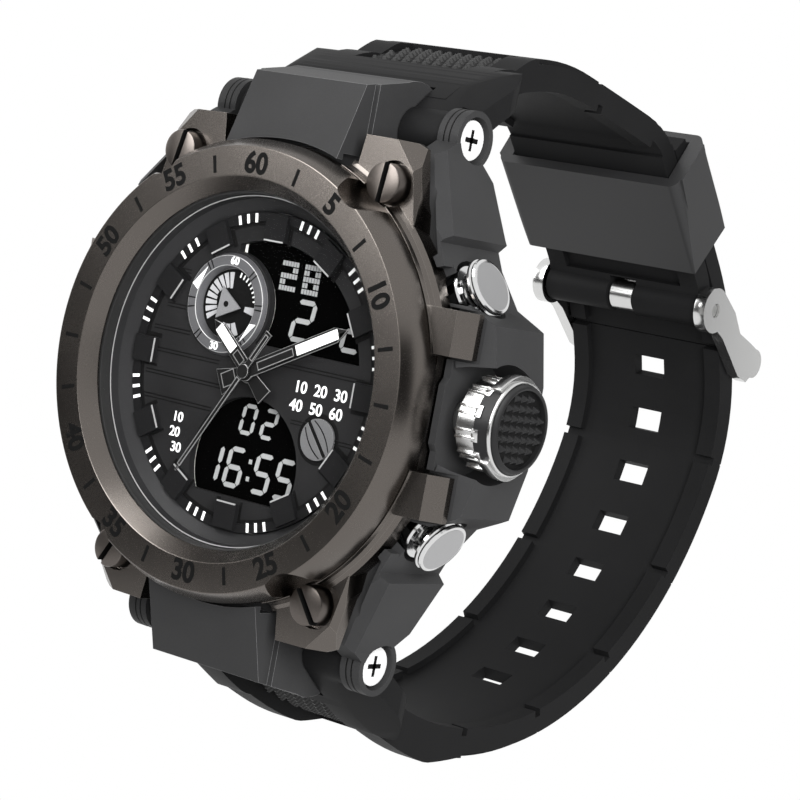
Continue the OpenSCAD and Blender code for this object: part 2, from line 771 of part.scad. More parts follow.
module pusher_collars() {
    color("silver") upright() for (a = pusher_turns) out_from(a, 0) difference() {
        union() {
            rotate_extrude() collar_profile();
            difference() {
                disc(1.9, collar_base, collar_base + 0.5);
                disc(wall_stem_r, 0, far);
            }
        }
        for (k = [0:45:315]) rotate([0, 0, k]) translate([2.75, 0, pusher_recess + 0.3])
            rotate([0, 8, 0]) cylinder(r = 0.45, h = collar_top - pusher_recess - 0.9, $fn = 24);
    }
}

module crown_tube() {
    color("silver") upright() out_from(0, cavity_r + 0.2) difference() {
        rod(crown_tube_r, crown_tube_end - cavity_r - 0.2);
        translate([0, 0, -1]) rod(crown_stem_r + run_gap, far);
        translate([0, 0, crown_seal - 0.3 - cavity_r - 0.2]) rod(crown_seal_r + 0.04, far);
    }
}

module lug_bars() {
    color("silver") upright() for (y = [-lug_y, lug_y])
        bar_x(y, lug_h, lug_bar_r, -lug_out + 1.6, lug_out - 1.6);
}

module lug_screws() {
    color("silver") upright() four_ways() difference() {
        union() {
            bar_x(lug_y, lug_h, bezel_screw_r, lug_out - 1.2, lug_out - 0.4);
            bar_x(lug_y, lug_h, lug_bar_r, lug_out - 1.58, lug_out - 1);
        }
        for (q = [[1, 4.5], [4.5, 1]])
            translate([lug_out - 0.8, lug_y - 0.23 * q[0], lug_h - 0.23 * q[1]])
                cube([2, 0.46 * q[0], 0.46 * q[1]]);
    }
}

module pusher(a) {
    color("silver") upright() out_from(a, 0) {
        rotate_extrude() polygon([[0, pusher_in - 0.3], [stem_r, pusher_in - 0.3],
            [stem_r, pusher_reach - 0.95], [pusher_r - 0.15, pusher_reach - 0.95],
            [pusher_r, pusher_reach - 0.8], [pusher_r, pusher_reach - 0.4],
            [pusher_r - 0.35, pusher_reach - 0.15], [pusher_r - 0.5, pusher_reach - 0.05],
            [0, pusher_reach]]);
    }
}

spring_mean_r = 1.16;
spring_wire_r = 0.16;
spring_low = collar_base + 0.5 + pusher_travel + 0.15;
spring_high = pusher_reach - 0.95 - spring_wire_r - 0.02;
spring_turns = 6;
spring_steps = 9;

module pusher_spring(a) {
    rings = spring_turns * spring_steps;
    points = [for (i = [0:rings], k = [0:5]) let (t = 360 * i / spring_steps, c = 60 * k)
        [(spring_mean_r + spring_wire_r * cos(c)) * cos(t),
         (spring_mean_r + spring_wire_r * cos(c)) * sin(t),
         spring_low + (spring_high - spring_low) * i / rings + spring_wire_r * sin(c)]];
    sides = [for (i = [0:rings - 1], k = [0:5]) let (n = (k + 1) % 6)
        each [[i * 6 + k, i * 6 + n, i * 6 + 6 + n], [i * 6 + k, i * 6 + 6 + n, i * 6 + 6 + k]]];
    ends = [for (k = [1:4]) each [[0, k + 1, k], [rings * 6, rings * 6 + k, rings * 6 + k + 1]]];
    color("silver") upright() out_from(a, 0) polyhedron(points, concat(sides, ends));
}

module pusher_clip(a) {
    color("silver") upright() out_from(a, 0) difference() {
        disc(1.5, pusher_in, pusher_in + 0.35);
        disc(stem_r + 0.02, 0, far);
        translate([0, -stem_r * 0.8, 0]) cube([far, stem_r * 1.6, far]);
    }
}

module pusher_2() { pusher(pusher_turns[0]); }
module pusher_4() { pusher(pusher_turns[1]); }
module pusher_8() { pusher(pusher_turns[2]); }
module pusher_10() { pusher(pusher_turns[3]); }
module pusher_spring_2() { pusher_spring(pusher_turns[0]); }
module pusher_spring_4() { pusher_spring(pusher_turns[1]); }
module pusher_spring_8() { pusher_spring(pusher_turns[2]); }
module pusher_spring_10() { pusher_spring(pusher_turns[3]); }
module pusher_clip_2() { pusher_clip(pusher_turns[0]); }
module pusher_clip_4() { pusher_clip(pusher_turns[1]); }
module pusher_clip_8() { pusher_clip(pusher_turns[2]); }
module pusher_clip_10() { pusher_clip(pusher_turns[3]); }

module crown_head() {
    color("silver") upright() out_from(0, 0) difference() {
        rotate_extrude() polygon([[0, crown_reach - 2.5], [crown_tube_r + 0.2, crown_reach - 2.5],
            [crown_tube_r + 0.2, crown_base + 0.3], [crown_drum_r - 0.5, crown_base],
            [crown_drum_r, crown_base + 0.5], [crown_drum_r, crown_reach - 2.6],
            [crown_neck_r, crown_reach - 2.6], [crown_neck_r, crown_reach - 1.8],
            [crown_r - 0.3, crown_reach - 1.8], [crown_r, crown_reach - 1.5],
            [crown_r, crown_reach - 0.7], [crown_r - 0.5, crown_reach - 0.35],
            [grip_r + 0.02, crown_reach - 0.35], [grip_r + 0.02, crown_reach - 1.2],
            [0, crown_reach - 1.2]]);
        for (k = [0:30:330]) rotate([0, 0, k]) {
            translate([crown_drum_r + 0.12, 0, 0]) rod(0.3, crown_reach - 2);
            translate([crown_r + 0.35, 0, crown_reach - 2]) rod(0.6, 3);
        }
    }
}

module crown_grip() {
    color("black") upright() out_from(0, 0) {
        rotate_extrude() polygon([[0, crown_reach - 1.2], [grip_r, crown_reach - 1.2],
            [grip_r, crown_reach - 0.2], [grip_r - 0.2, crown_reach - 0.05], [0, crown_reach]]);
        rotate_extrude() polygon([[crown_neck_r, crown_reach - 2.58],
            [crown_drum_r + 0.05, crown_reach - 2.58], [crown_drum_r + 0.05, crown_reach - 1.82],
            [crown_neck_r, crown_reach - 1.82]]);
    }
}

module crown_stem() {
    color("silver") upright() out_from(0, 0) rotate_extrude() polygon([[0, 11.8],
        [crown_stem_r, 11.8], [crown_stem_r, lever_x - 0.04], [stem_neck_r, lever_x - 0.04],
        [stem_neck_r, lever_x + lever_t + 0.04], [crown_stem_r, lever_x + lever_t + 0.04],
        [crown_stem_r, crown_seal], [crown_stem_r - 0.3, crown_seal],
        [crown_stem_r - 0.3, crown_seal + 0.6], [crown_stem_r, crown_seal + 0.6],
        [crown_stem_r, crown_reach - 2.5], [0, crown_reach - 2.5]]);
}

module crown_gasket() {
    color("black") upright() out_from(0, 0) rotate_extrude() polygon([
        [crown_stem_r - 0.28, crown_seal + 0.04], [crown_seal_r, crown_seal + 0.04],
        [crown_seal_r, crown_seal + 0.56], [crown_stem_r - 0.28, crown_seal + 0.56]]);
}

module setting_lever() {
    color("silver") upright() translate([lever_x, -1.6, control_h - 2]) difference() {
        cube([lever_t, 3.2, 3.6]);
        translate([-1, 1.6 - stem_neck_r - run_gap, -1]) cube([9, 2 * (stem_neck_r + run_gap), 3]);
        translate([-1, 1.6, 2]) rotate([0, 90, 0]) rod(stem_neck_r + run_gap, far);
    }
}

module hand_blade(l, w, tail, flare) {
    polygon([[-w / 2, 0.9], [-w / 2, l - w], [0, l], [w / 2, l - w], [w / 2, 0.9], [0.6, -0.6],
        [flare, -tail], [-flare, -tail], [-0.6, -0.6]]);
}

module hour_hand() {
    color("black") upright() rotate([0, 0, -hour_turn]) difference() {
        union() {
            disc(1.1, hour_z, hour_z + hand_t);
            translate([0, 0, hour_z]) linear_extrude(hand_t) hand_blade(hour_l, 1.5, 3.3, 0.95);
            disc(hour_pipe_r, module_top - 0.8, hour_z + hand_t);
        }
        disc(minute_pipe_r + run_gap, 0, far);
        translate([-0.5, 2.9, hour_z + 0.1]) cube([1, 3, far]);
    }
}

module hour_lume() {
    color("white") upright() rotate([0, 0, -hour_turn])
        translate([-0.5 + eps, 2.9 + eps, hour_z + 0.1]) cube([1 - 2 * eps, 3 - 2 * eps, 0.17]);
}

module minute_hand() {
    color("black") upright() rotate([0, 0, -minute_turn]) difference() {
        union() {
            disc(0.95, minute_z, minute_z + hand_t);
            translate([0, 0, minute_z]) linear_extrude(hand_t) hand_blade(minute_l, 1.5, 3.4, 1.35);
            disc(minute_pipe_r, module_top - 1.9, minute_z + hand_t);
        }
        disc(second_arbor_r + run_gap, 0, far);
        translate([-0.5, 6.6, minute_z + 0.1]) cube([1, 5.2, far]);
    }
}

module minute_lume() {
    color("white") upright() rotate([0, 0, -minute_turn])
        translate([-0.5 + eps, 6.6 + eps, minute_z + 0.1]) cube([1 - 2 * eps, 5.2 - 2 * eps, 0.17]);
}

module second_hand() {
    color("black") upright() rotate([0, 0, -second_turn]) {
        disc(second_arbor_r, module_low + 1.1, second_z + 0.22);
        disc(0.7, second_z, second_z + 0.25);
        translate([0, 0, second_z]) linear_extrude(0.18)
            polygon([[-0.3, 0], [-0.09, second_l], [0.09, second_l], [0.3, 0], [0.42, -second_tail],
                [-0.42, -second_tail]]);
    }
}

// A ribbon of strap along a route: offsets are measured to the side that faces the wrist
module ribbon(start, route, inward, s0, s1, inner, outer) {
    s = places(s0, s1, 1.6);
    polygon(concat(
        [for (v = s) beside(along(start, route, v), inward * inner)],
        [for (v = turned_back(s)) beside(along(start, route, v), -inward * outer)]));
}

// The same with a thickness that changes: a list of [place, thickness] for the outer side
module swelling(start, route, inward, inner, outer) {
    n = len(outer);
    s = places(outer[0][0], outer[n - 1][0], 0.8);
    polygon(concat(
        [for (v = s) beside(along(start, route, v), inward * inner)],
        [for (v = turned_back(s)) beside(along(start, route, v), -inward * lookup(v, outer))]));
}

module at_place(start, route, s) {
    p = along(start, route, s);
    translate([p[0], p[1]]) rotate(p[2]) children();
}

module notch(start, route, inward, s, depth) {
    at_place(start, route, s) polygon([[0, -inward * (strap_out - depth)],
        [depth * 0.8, -inward * (strap_out + 0.3)], [-depth * 0.8, -inward * (strap_out + 0.3)]]);
}

// The band with its side edges stepped, its joints notched and its rails left standing
module band(start, route, inward, s0, s1, notches) {
    across(-strap_x, strap_x) difference() {
        ribbon(start, route, inward, s0, s1, strap_in, strap_out - 0.5);
        for (s = notches) notch(start, route, inward, s, 0.7);
    }
    across(-strap_x + 0.8, strap_x - 0.8) difference() {
        ribbon(start, route, inward, s0, s1, strap_in, strap_out);
        for (s = notches) notch(start, route, inward, s, 0.7);
    }
}

module rails(start, route, inward, s0, s1, notches) {
    for (x = [-strap_x, strap_x - rail_w]) across(x, x + rail_w) difference() {
        ribbon(start, route, inward, s0, s1, strap_in + rail_h, 0);
        for (s = notches) at_place(start, route, s)
            translate([-0.45, min(0, inward * 3)]) square([0.9, 3]);
    }
}

// The wide root of a strap half, which takes the lug bar between the case's bosses
module strap_root(start, route, inward, swell, shoulder_swell) {
    middle = along(start, route, shoulder_l / 2);
    edge = beside(middle, -inward * shoulder_out);
    difference() {
        intersection() {
            across(-shoulder_x, shoulder_x) swelling(start, route, inward, strap_in + rail_h,
                shoulder_swell);
            translate([0, 0, -far]) linear_extrude(2 * far) for (x = [0, 1]) mirror([x, 0]) {
                translate([0, -lug_h - 9]) square([shoulder_x, 15.5]);
                translate([strap_x - 0.5, -lug_h + 6]) circle(r = shoulder_x - strap_x + 0.5);
                translate([0, -lug_h]) square([strap_x, 20]);
            }
        }
        for (x = [0, 1]) mirror([x, 0, 0]) beyond([strap_x, edge[0], edge[1]],
            [tan(shoulder_slope), inward * sin(middle[2]), -inward * cos(middle[2])]);
    }
    across(-strap_x, strap_x) swelling(start, route, inward, strap_in, swell);
    across(-lug_in + move_gap, lug_in - move_gap) translate([start[0], start[1]])
        circle(r = knuckle_lug_r);
}

module root_cuts(start, route, inward, s0, s1, swell) {
    across(-hood_x - move_gap, hood_x + move_gap) translate([start[0], start[1]])
        circle(r = hood_clear_r);
    for (x = [0, 1]) mirror([x, 0, 0]) across(lug_in - move_gap, far)
        translate([start[0], start[1]]) circle(r = boss_clear_r);
    across(-far, far) translate([start[0], start[1]]) circle(r = lug_bore_r);
    across(-window_x, window_x) ribbon(start, route, inward, s0, s1, -window_floor, swell + 2);
}

short_notches = [short_joint, short_joint + 3 + short_step, short_joint + 3 + 2 * short_step];
long_notches = concat([for (k = [0:joints - 2]) first_joint + k * joint_step], [fifth_joint]);
short_swell = [[3, 2.1], [6, 2], [8, 1.7], [11, 1.4], [short_joint - 1, 1.1],
    [short_joint, 0.7], [short_joint + 1.3, 1.1], [short_joint + 3, strap_out + 0.1],
    [short_joint + 4, strap_out]];
short_shoulder = [[0.4, 2.1], [6, 2], [8, 1.7], [11, 1.4], [13, 0.8], [shoulder_l, -0.2]];
long_shoulder = [[0.4, shoulder_out], [shoulder_l - 3.4, shoulder_out],
    [shoulder_l - 2, shoulder_out - 0.35], [shoulder_l - 0.8, shoulder_out - 1.2],
    [shoulder_l, -0.2]];
long_swell = [[3, 2.2], [8, 2.1], [first_joint - 12.7, 2.2], [first_joint - 5.7, 2.5],
    [first_joint - 2.7, 1.9], [first_joint - 0.5, strap_out], [first_joint + 0.3, strap_out]];

module strap_12() {
    color("#2b2b2b") difference() {
        union() {
            strap_root(short_start, short_route, -1, short_swell, short_shoulder);
            band(short_start, short_route, -1, short_joint + 3.4, short_to_keeper - 0.3, short_notches);
            rails(short_start, short_route, -1, 9, short_to_keeper - 4, short_notches);
            across(-strap_x, strap_x) ribbon(short_start, short_route, -1, short_to_keeper - 0.6,
                short_length, thin_in, thin_out);
            across(-strap_x, strap_x) translate([pin_at[0], pin_at[1]]) circle(r = knuckle_r);
        }
        root_cuts(short_start, short_route, -1, 10, 19, 2.4);
        across(-far, far) translate([pin_at[0], pin_at[1]]) circle(r = pin_r + seat_gap);
        across(-tongue_w / 2 - 0.6, tongue_w / 2 + 0.6) translate([pin_at[0], pin_at[1]])
            circle(r = knuckle_r + 0.6);
        across(-strap_x + 2.4, strap_x - 2.4) ribbon(short_start, short_route, -1,
            short_length - 5.5, short_length - 2.9, thin_in + 1, -(thin_in - 0.6));
    }
}

module keeper_frame() {
    across(-far / 2, far / 2) translate([keeper_at[0], keeper_at[1]]) rotate(keeper_at[2])
        translate([keeper_travel + 0.35, 0]) children();
}

keeper_near = thin_in + 0.2 + keeper_t;
keeper_far = tail_lift + tail_out + 0.2 + keeper_t;
keeper_half_top = strap_x + 2.1;
keeper_half_low = strap_x + 1.15;

// The keeper's outline along the strap, with rounded corners
module keeper_mouth() {
    low = keeper_near;
    high = keeper_far;
    half = keeper_half_top + 0.2;
    round = 1.1;
    for (x = [0, 1]) mirror([x, 0]) {
        translate([0, -high + round]) square([half, low + high - 2 * round]);
        translate([0, -high]) square([half - round - 0.5, low + high]);
        for (y = [-high + round, low - round]) translate([half - round - 0.5, y]) circle(r = round);
    }
}

module keeper() {
    color("#262626") difference() {
        intersection() {
            keeper_frame() polygon([[0, -keeper_near], [keeper_l, -keeper_near],
                [keeper_l - 1.1, keeper_far], [-1.6, keeper_far]]);
            translate([0, keeper_at[0], keeper_at[1]]) rotate([keeper_at[2], 0, 0])
                rotate([-90, 0, 0]) translate([0, 0, -far / 2]) linear_extrude(far) keeper_mouth();
        }
        across(-strap_x - 0.3, strap_x + 0.3) translate([keeper_at[0], keeper_at[1]])
            rotate(keeper_at[2]) translate([-8, -keeper_near + keeper_t])
            square([keeper_l + 20, keeper_near + keeper_far - 2 * keeper_t]);
        for (x = [0, 1]) mirror([x, 0, 0]) translate([0, keeper_at[0], keeper_at[1]])
            rotate([keeper_at[2], 0, 0]) translate([keeper_half_top, keeper_travel + 0.35, -far / 2])
            rotate([0, 0, atan2(keeper_half_top - keeper_half_low, keeper_l)])
            translate([0, -far / 2, 0]) cube([far, far, far]);
    }
}

module buckle_bar() {
    color("silver") across(-frame_out + 0.3, frame_out - 0.3)
        translate([pin_at[0], pin_at[1]]) circle(r = pin_r);
}

// A buckle arm from the side: an eye on the spring bar, a waist and a hooked end for the outer bar
module link_plan() {
    eye = 2.6;
    translate(pin_at) {
        circle(r = eye);
        translate([bar_y, -bar_drop]) {
            circle(r = bar_r + 0.45);
            polygon([[-3.2, -1.7], [-1.1, -2.3], [-0.2, -1.5], [1.1, 1.3], [-1.6, 2.3], [-4.4, 3.2]]);
        }
        polygon([[-1.6, -2.05], [1.2, -2.3], [2.7, -3], [bar_y - 3.2, -bar_drop - 1.7],
            [bar_y - 1.6, -bar_drop + 2.3], [bar_y - 4.4, -bar_drop + 3.2], [4.5, 0.2], [1.5, 2.1]]);
    }
}

module buckle_frame() {
    color("silver") {
        for (x = [0, 1]) mirror([x, 0, 0]) across(frame_in, frame_out) difference() {
            link_plan();
            translate(pin_at) circle(r = pin_r + run_gap);
        }
        across(-frame_in - 0.1, frame_in + 0.1) translate(bar_at) circle(r = bar_r);
    }
}

blade_turn = atan2(hole_at[1] - pin_at[1], hole_at[0] - pin_at[0]);
rest_turn = -46;
tongue_swing = 11;
rest_lift = bar_r + tongue_t / 2 + 0.1;
rest_point = [bar_at[0] - rest_lift * sin(rest_turn), bar_at[1] + rest_lift * cos(rest_turn)];
knee_far = meet([pin_at[0], pin_at[1], blade_turn], rest_point, rest_turn);
knee = [pin_at[0] + knee_far * cos(blade_turn), pin_at[1] + knee_far * sin(blade_turn)];
tip_l = norm([rest_point[0] - knee[0], rest_point[1] - knee[1]]) + 1.3;

module buckle_tongue() {
    color("silver") difference() {
        union() {
            across(-tongue_w / 2 - 0.3, tongue_w / 2 + 0.3) translate([pin_at[0], pin_at[1]])
                circle(r = knuckle_r - 0.3);
            across(-tongue_w / 2, tongue_w / 2) {
                translate([pin_at[0], pin_at[1]]) rotate(blade_turn)
                    translate([0, -tongue_t / 2]) square([knee_far, tongue_t]);
                translate(knee) circle(r = tongue_t / 2);
                translate(knee) rotate(rest_turn) translate([0, -tongue_t / 2])
                    square([tip_l, tongue_t]);
            }
        }
        across(-far, far) translate([pin_at[0], pin_at[1]]) circle(r = pin_r + run_gap);
    }
}

module strap_hole(s, l) {
    across(-hole_w / 2, hole_w / 2) at_place(long_start, long_route, s)
        translate([-l / 2, -5]) square([l, 10]);
}

// The shallow channel along the outside that the holes lie in
module channel(s0, s1, outer) {
    across(-hole_w / 2 - 1.4, hole_w / 2 + 1.4) ribbon(long_start, long_route, 1, s0, s1,
        -(outer - channel_deep), outer + 1);
}

module strap_6() {
    color("#2b2b2b") difference() {
        union() {
            strap_root(long_start, long_route, 1, long_swell, long_shoulder);
            band(long_start, long_route, 1, first_joint - 2.6, split_s - split_gap / 2, long_notches);
            rails(long_start, long_route, 1, 9, split_s - split_gap / 2, long_notches);
        }
        root_cuts(long_start, long_route, 1, 6, 24.9, 3);
        for (k = [0:seen_holes - 1]) strap_hole(last_hole - k * hole_step, hole_l);
        channel(last_hole - (seen_holes - 1) * hole_step - 3, split_s + 1, strap_out);
    }
}

module strap_tail() {
    color("#2b2b2b") difference() {
        union() {
            across(-strap_x, strap_x) ribbon(long_start, long_route, 1, split_s + split_gap / 2,
                long_length, strap_in, tail_out);
            for (x = [-strap_x, strap_x - rail_w]) across(x, x + rail_w) ribbon(long_start,
                long_route, 1, split_s + 0.8, split_s + 2.85, strap_in + rail_h, 0);
        }
        channel(split_s - 1, long_length - 6, tail_out);
        across(-hole_w / 2, hole_w / 2) translate([pin_at[0], pin_at[1]]) rotate(blade_turn)
            polygon([[2, -tongue_t / 2 - 0.15], [10, -tongue_t / 2 - 0.15],
                [10, tongue_t / 2 + 0.2 + 10 * tan(tongue_swing)],
                [2, tongue_t / 2 + 0.2 + 2 * tan(tongue_swing)]]);
        strap_hole(tongue_hole + hole_step, hole_l);
        strap_hole(tongue_hole + 2 * hole_step, hole_l);
    }
}

case_middle();
hood_12();
hood_6();
bezel_frame();
bezel_ring();
bezel_screws();
crystal();
crystal_gasket();
flange_ring();
hour_ring();
dial_plate();
subdial_ring();
dial_screw();
lcd_upper();
lcd_lower();
zebra_connectors();
module_frame();
circuit_board();
hand_movement();
battery();
battery_clip();
buzzer();
backlight_led();
case_back();
case_back_gasket();
case_back_screws();
pusher_collars();
crown_tube();
lug_bars();
lug_screws();
pusher_2();
pusher_4();
pusher_8();
pusher_10();
pusher_spring_2();
pusher_spring_4();
pusher_spring_8();
pusher_spring_10();
pusher_clip_2();
pusher_clip_4();
pusher_clip_8();
pusher_clip_10();
crown_head();
crown_grip();
crown_stem();
crown_gasket();
setting_lever();
hour_hand();
hour_lume();
minute_hand();
minute_lume();
second_hand();
subdial_rotor();
strap_12();
keeper();
buckle_bar();
buckle_frame();
buckle_tongue();
strap_6();
strap_tail();
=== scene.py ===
import bpy
import bmesh
import math
from mathutils import Matrix, Vector


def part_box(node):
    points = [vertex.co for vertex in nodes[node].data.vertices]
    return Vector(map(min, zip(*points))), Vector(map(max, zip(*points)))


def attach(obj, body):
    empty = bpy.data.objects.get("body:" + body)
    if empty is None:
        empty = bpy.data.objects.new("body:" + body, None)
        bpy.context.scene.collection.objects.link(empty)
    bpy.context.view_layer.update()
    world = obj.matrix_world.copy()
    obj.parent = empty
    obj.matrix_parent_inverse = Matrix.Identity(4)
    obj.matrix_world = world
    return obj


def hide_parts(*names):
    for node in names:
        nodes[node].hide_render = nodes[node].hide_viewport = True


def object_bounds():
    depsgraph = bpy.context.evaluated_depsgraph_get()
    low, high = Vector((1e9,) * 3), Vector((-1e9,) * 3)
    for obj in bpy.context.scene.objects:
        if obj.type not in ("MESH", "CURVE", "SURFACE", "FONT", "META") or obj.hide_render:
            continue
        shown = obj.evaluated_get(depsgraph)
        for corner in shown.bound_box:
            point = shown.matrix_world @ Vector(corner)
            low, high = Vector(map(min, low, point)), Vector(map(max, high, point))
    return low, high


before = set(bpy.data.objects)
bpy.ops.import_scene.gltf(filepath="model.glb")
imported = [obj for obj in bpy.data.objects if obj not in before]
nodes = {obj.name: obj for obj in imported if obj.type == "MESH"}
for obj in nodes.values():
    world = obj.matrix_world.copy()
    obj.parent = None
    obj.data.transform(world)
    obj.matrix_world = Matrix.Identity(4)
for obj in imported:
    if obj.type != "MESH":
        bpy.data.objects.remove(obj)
cad_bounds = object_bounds()

# The studio: a glowing sheet of paper under the standing watch, a white room that the metal and
# the crystal mirror, a few soft lamps and dark cards, and the camera where the photograph was
# taken from, a quarter metre off the dial, to the right of it and a little above.
MM = 0.001
WHITE = (1, 1, 1, 1)
ROOM_LIGHT = 0.26
scene = bpy.context.scene
scene.view_settings.view_transform = "Standard"

# The camera and mirror-like or clear faces see the room in full white, dull faces get less of it
room = bpy.data.worlds.new("room")
scene.world = room
room.use_nodes = True
tree = room.node_tree
tree.nodes.clear()
rays = tree.nodes.new("ShaderNodeLightPath")
mirrored = tree.nodes.new("ShaderNodeMath")
mirrored.operation = "MAXIMUM"
seen = tree.nodes.new("ShaderNodeMath")
seen.operation = "MAXIMUM"
shown = tree.nodes.new("ShaderNodeBackground")
shown.inputs["Color"].default_value = WHITE
shown.inputs["Strength"].default_value = 1
lighting = tree.nodes.new("ShaderNodeBackground")
lighting.inputs["Color"].default_value = WHITE
lighting.inputs["Strength"].default_value = ROOM_LIGHT
either = tree.nodes.new("ShaderNodeMixShader")
out = tree.nodes.new("ShaderNodeOutputWorld")
tree.links.new(rays.outputs["Is Camera Ray"], mirrored.inputs[0])
tree.links.new(rays.outputs["Is Glossy Ray"], mirrored.inputs[1])
tree.links.new(mirrored.outputs[0], seen.inputs[0])
tree.links.new(rays.outputs["Is Transmission Ray"], seen.inputs[1])
tree.links.new(seen.outputs[0], either.inputs[0])
tree.links.new(lighting.outputs[0], either.inputs[1])
tree.links.new(shown.outputs[0], either.inputs[2])
tree.links.new(either.outputs[0], out.inputs[0])


def mesh_of(bm, name):
    """The mesh of a finished shape, which is freed."""
    mesh = bpy.data.meshes.new(name)
    bm.to_mesh(mesh)
    bm.free()
    return mesh


PAPER_HALF = 2.0
PAPER_GAP = 0.2 * MM
bm = bmesh.new()
bmesh.ops.create_grid(bm, x_segments=1, y_segments=1, size=PAPER_HALF,
                      matrix=Matrix.Translation((0, 0, cad_bounds[0][2] - PAPER_GAP)))
floor = bpy.data.objects.new("floor", mesh_of(bm, "floor"))
scene.collection.objects.link(floor)
paper = bpy.data.materials.new("paper")
paper.use_nodes = True
tree = paper.node_tree
tree.nodes.clear()
glow = tree.nodes.new("ShaderNodeEmission")
glow.inputs["Strength"].default_value = 1
out = tree.nodes.new("ShaderNodeOutputMaterial")
tree.links.new(glow.outputs[0], out.inputs[0])
floor.data.materials.append(paper)
# The picture has no floor line or shadow: the camera sees past the paper, also to the open strap
floor.visible_camera = False


def turned(right, up, back, place):
    """The matrix of a thing at a place, from the directions of its own x, y and z."""
    m = Matrix((right, up, back)).transposed().to_4x4()
    m.translation = place
    return m


def aimed(place, target):
    """The matrix of a lamp or card at a place that faces a point."""
    m = (Vector(target) - Vector(place)).to_track_quat("-Z", "Y").to_matrix().to_4x4()
    m.translation = place
    return m


LENS = 118.5
SENSOR = 36
NEAREST = 0.01
CAMERA_RIGHT = Vector((0.78338, 0.59460, 0.18085))
CAMERA_UP = Vector((-0.17874, -0.06313, 0.98187))
CAMERA_BACK = Vector((0.5952, -0.8015, 0.0568))
CAMERA_PLACE = (0.1641, -0.2072, 0.0145)
camera_data = bpy.data.cameras.new("camera")
camera_data.lens = LENS
camera_data.sensor_width = SENSOR
camera_data.clip_start = NEAREST
camera = bpy.data.objects.new("camera", camera_data)
camera.matrix_world = turned(CAMERA_RIGHT, CAMERA_UP, CAMERA_BACK, CAMERA_PLACE)
scene.collection.objects.link(camera)
scene.camera = camera

# name: place, point it faces, width, height, power in watts
LAMPS = {
    "lamp_high": ((-0.06, -0.14, 0.24), (0, 0.0, 0.01), 0.14, 0.14, 0.45),
    "lamp_left": ((-0.30, -0.12, 0.10), (0, 0, 0), 0.12, 0.20, 0.2),
    "lamp_right": ((0.24, -0.20, 0.06), (0.01, 0, 0), 0.20, 0.24, 3.6),
    "lamp_front": ((-0.095, -0.235, 0.115), (0, 0, 0.01), 0.12, 0.16, 0.55),
}
for name, (place, target, wide, tall, power) in LAMPS.items():
    lamp = bpy.data.lights.new(name, "AREA")
    lamp.shape = "RECTANGLE"
    lamp.size = wide
    lamp.size_y = tall
    lamp.energy = power
    holder = bpy.data.objects.new(name, lamp)
    holder.matrix_world = aimed(place, target)
    scene.collection.objects.link(holder)
    # The lamp beside the watch lights only dull faces, the one in front only shows in the metal
    holder.visible_glossy = name != "lamp_right"
    holder.visible_diffuse = name != "lamp_front"

# name: place, point it faces, width, height: black cards that only mirror-like faces see
CARDS = {
    "card_low": ((-0.04, -0.085, -0.050), (0, 0, 0), 0.24, 0.13),
    "card_left": ((-0.112, -0.085, 0.0), (0, 0, 0), 0.07, 0.20),
    "card_right": ((0.25, -0.02, -0.02), (0, 0, 0), 0.20, 0.30),
    "card_back": ((0.225, 0.30, 0.03), (0.02, 0.02, 0), 0.11, 0.40),
    "card_above": ((-0.05, 0.28, 0.16), (0.013, 0.055, -0.01), 0.16, 0.12),
    "card_under": ((0.0, 0.17, -0.046), (0.013, 0.055, 0.0), 0.14, 0.10),
}
black_card = bpy.data.materials.new("black_card")
black_card.use_nodes = True
skin = black_card.node_tree.nodes["Principled BSDF"]
skin.inputs["Base Color"].default_value = (0.01, 0.01, 0.01, 1)
skin.inputs["Roughness"].default_value = 1
for name, (place, target, wide, tall) in CARDS.items():
    bm = bmesh.new()
    bmesh.ops.create_grid(bm, x_segments=1, y_segments=1, size=0.5)
    bmesh.ops.scale(bm, vec=(wide, tall, 1), verts=bm.verts)
    bmesh.ops.transform(bm, matrix=aimed(place, target), verts=bm.verts)
    card = bpy.data.objects.new(name, mesh_of(bm, name))
    card.data.materials.append(black_card)
    scene.collection.objects.link(card)
    card.visible_camera = False
    card.visible_diffuse = False
    card.visible_shadow = False
    card.visible_transmission = False

# The resin case with its two hoods: satin black injection moulding, spark-eroded to a fine
# grain, its outside corners left slightly rounded by the mould; the rounds are drawn in a
# lighter, shinier copy of the resin as a painted highlight.
BROAD_GRAIN = 160
FINE_SHARE = 0.65
BROAD_SHARE = 0.35
grain = bpy.data.node_groups.new("moulded_grain", "ShaderNodeTree")
for socket, kind in (("Size", "Float"), ("Dark", "Color"), ("Pale", "Color"), ("Rough", "Float"),
                     ("Rough range", "Float")):
    grain.interface.new_socket(socket, in_out="INPUT", socket_type="NodeSocket" + kind)
for socket, kind in (("Colour", "Color"), ("Roughness", "Float"), ("Height", "Float")):
    grain.interface.new_socket(socket, in_out="OUTPUT", socket_type="NodeSocket" + kind)
given = grain.nodes.new("NodeGroupInput")
gives = grain.nodes.new("NodeGroupOutput")
where = grain.nodes.new("ShaderNodeTexCoord")
fine = grain.nodes.new("ShaderNodeTexNoise")
fine.inputs["Detail"].default_value = 3
fine.inputs["Roughness"].default_value = 0.6
broad = grain.nodes.new("ShaderNodeTexNoise")
broad.inputs["Detail"].default_value = 2
broad.inputs["Scale"].default_value = BROAD_GRAIN
grain.links.new(where.outputs["Object"], fine.inputs["Vector"])
grain.links.new(where.outputs["Object"], broad.inputs["Vector"])
grain.links.new(given.outputs["Size"], fine.inputs["Scale"])
both = grain.nodes.new("ShaderNodeMath")
both.operation = "MULTIPLY_ADD"
both.inputs[1].default_value = FINE_SHARE
grain.links.new(fine.outputs["Fac"], both.inputs[0])
broad_part = grain.nodes.new("ShaderNodeMath")
broad_part.operation = "MULTIPLY"
broad_part.inputs[1].default_value = BROAD_SHARE
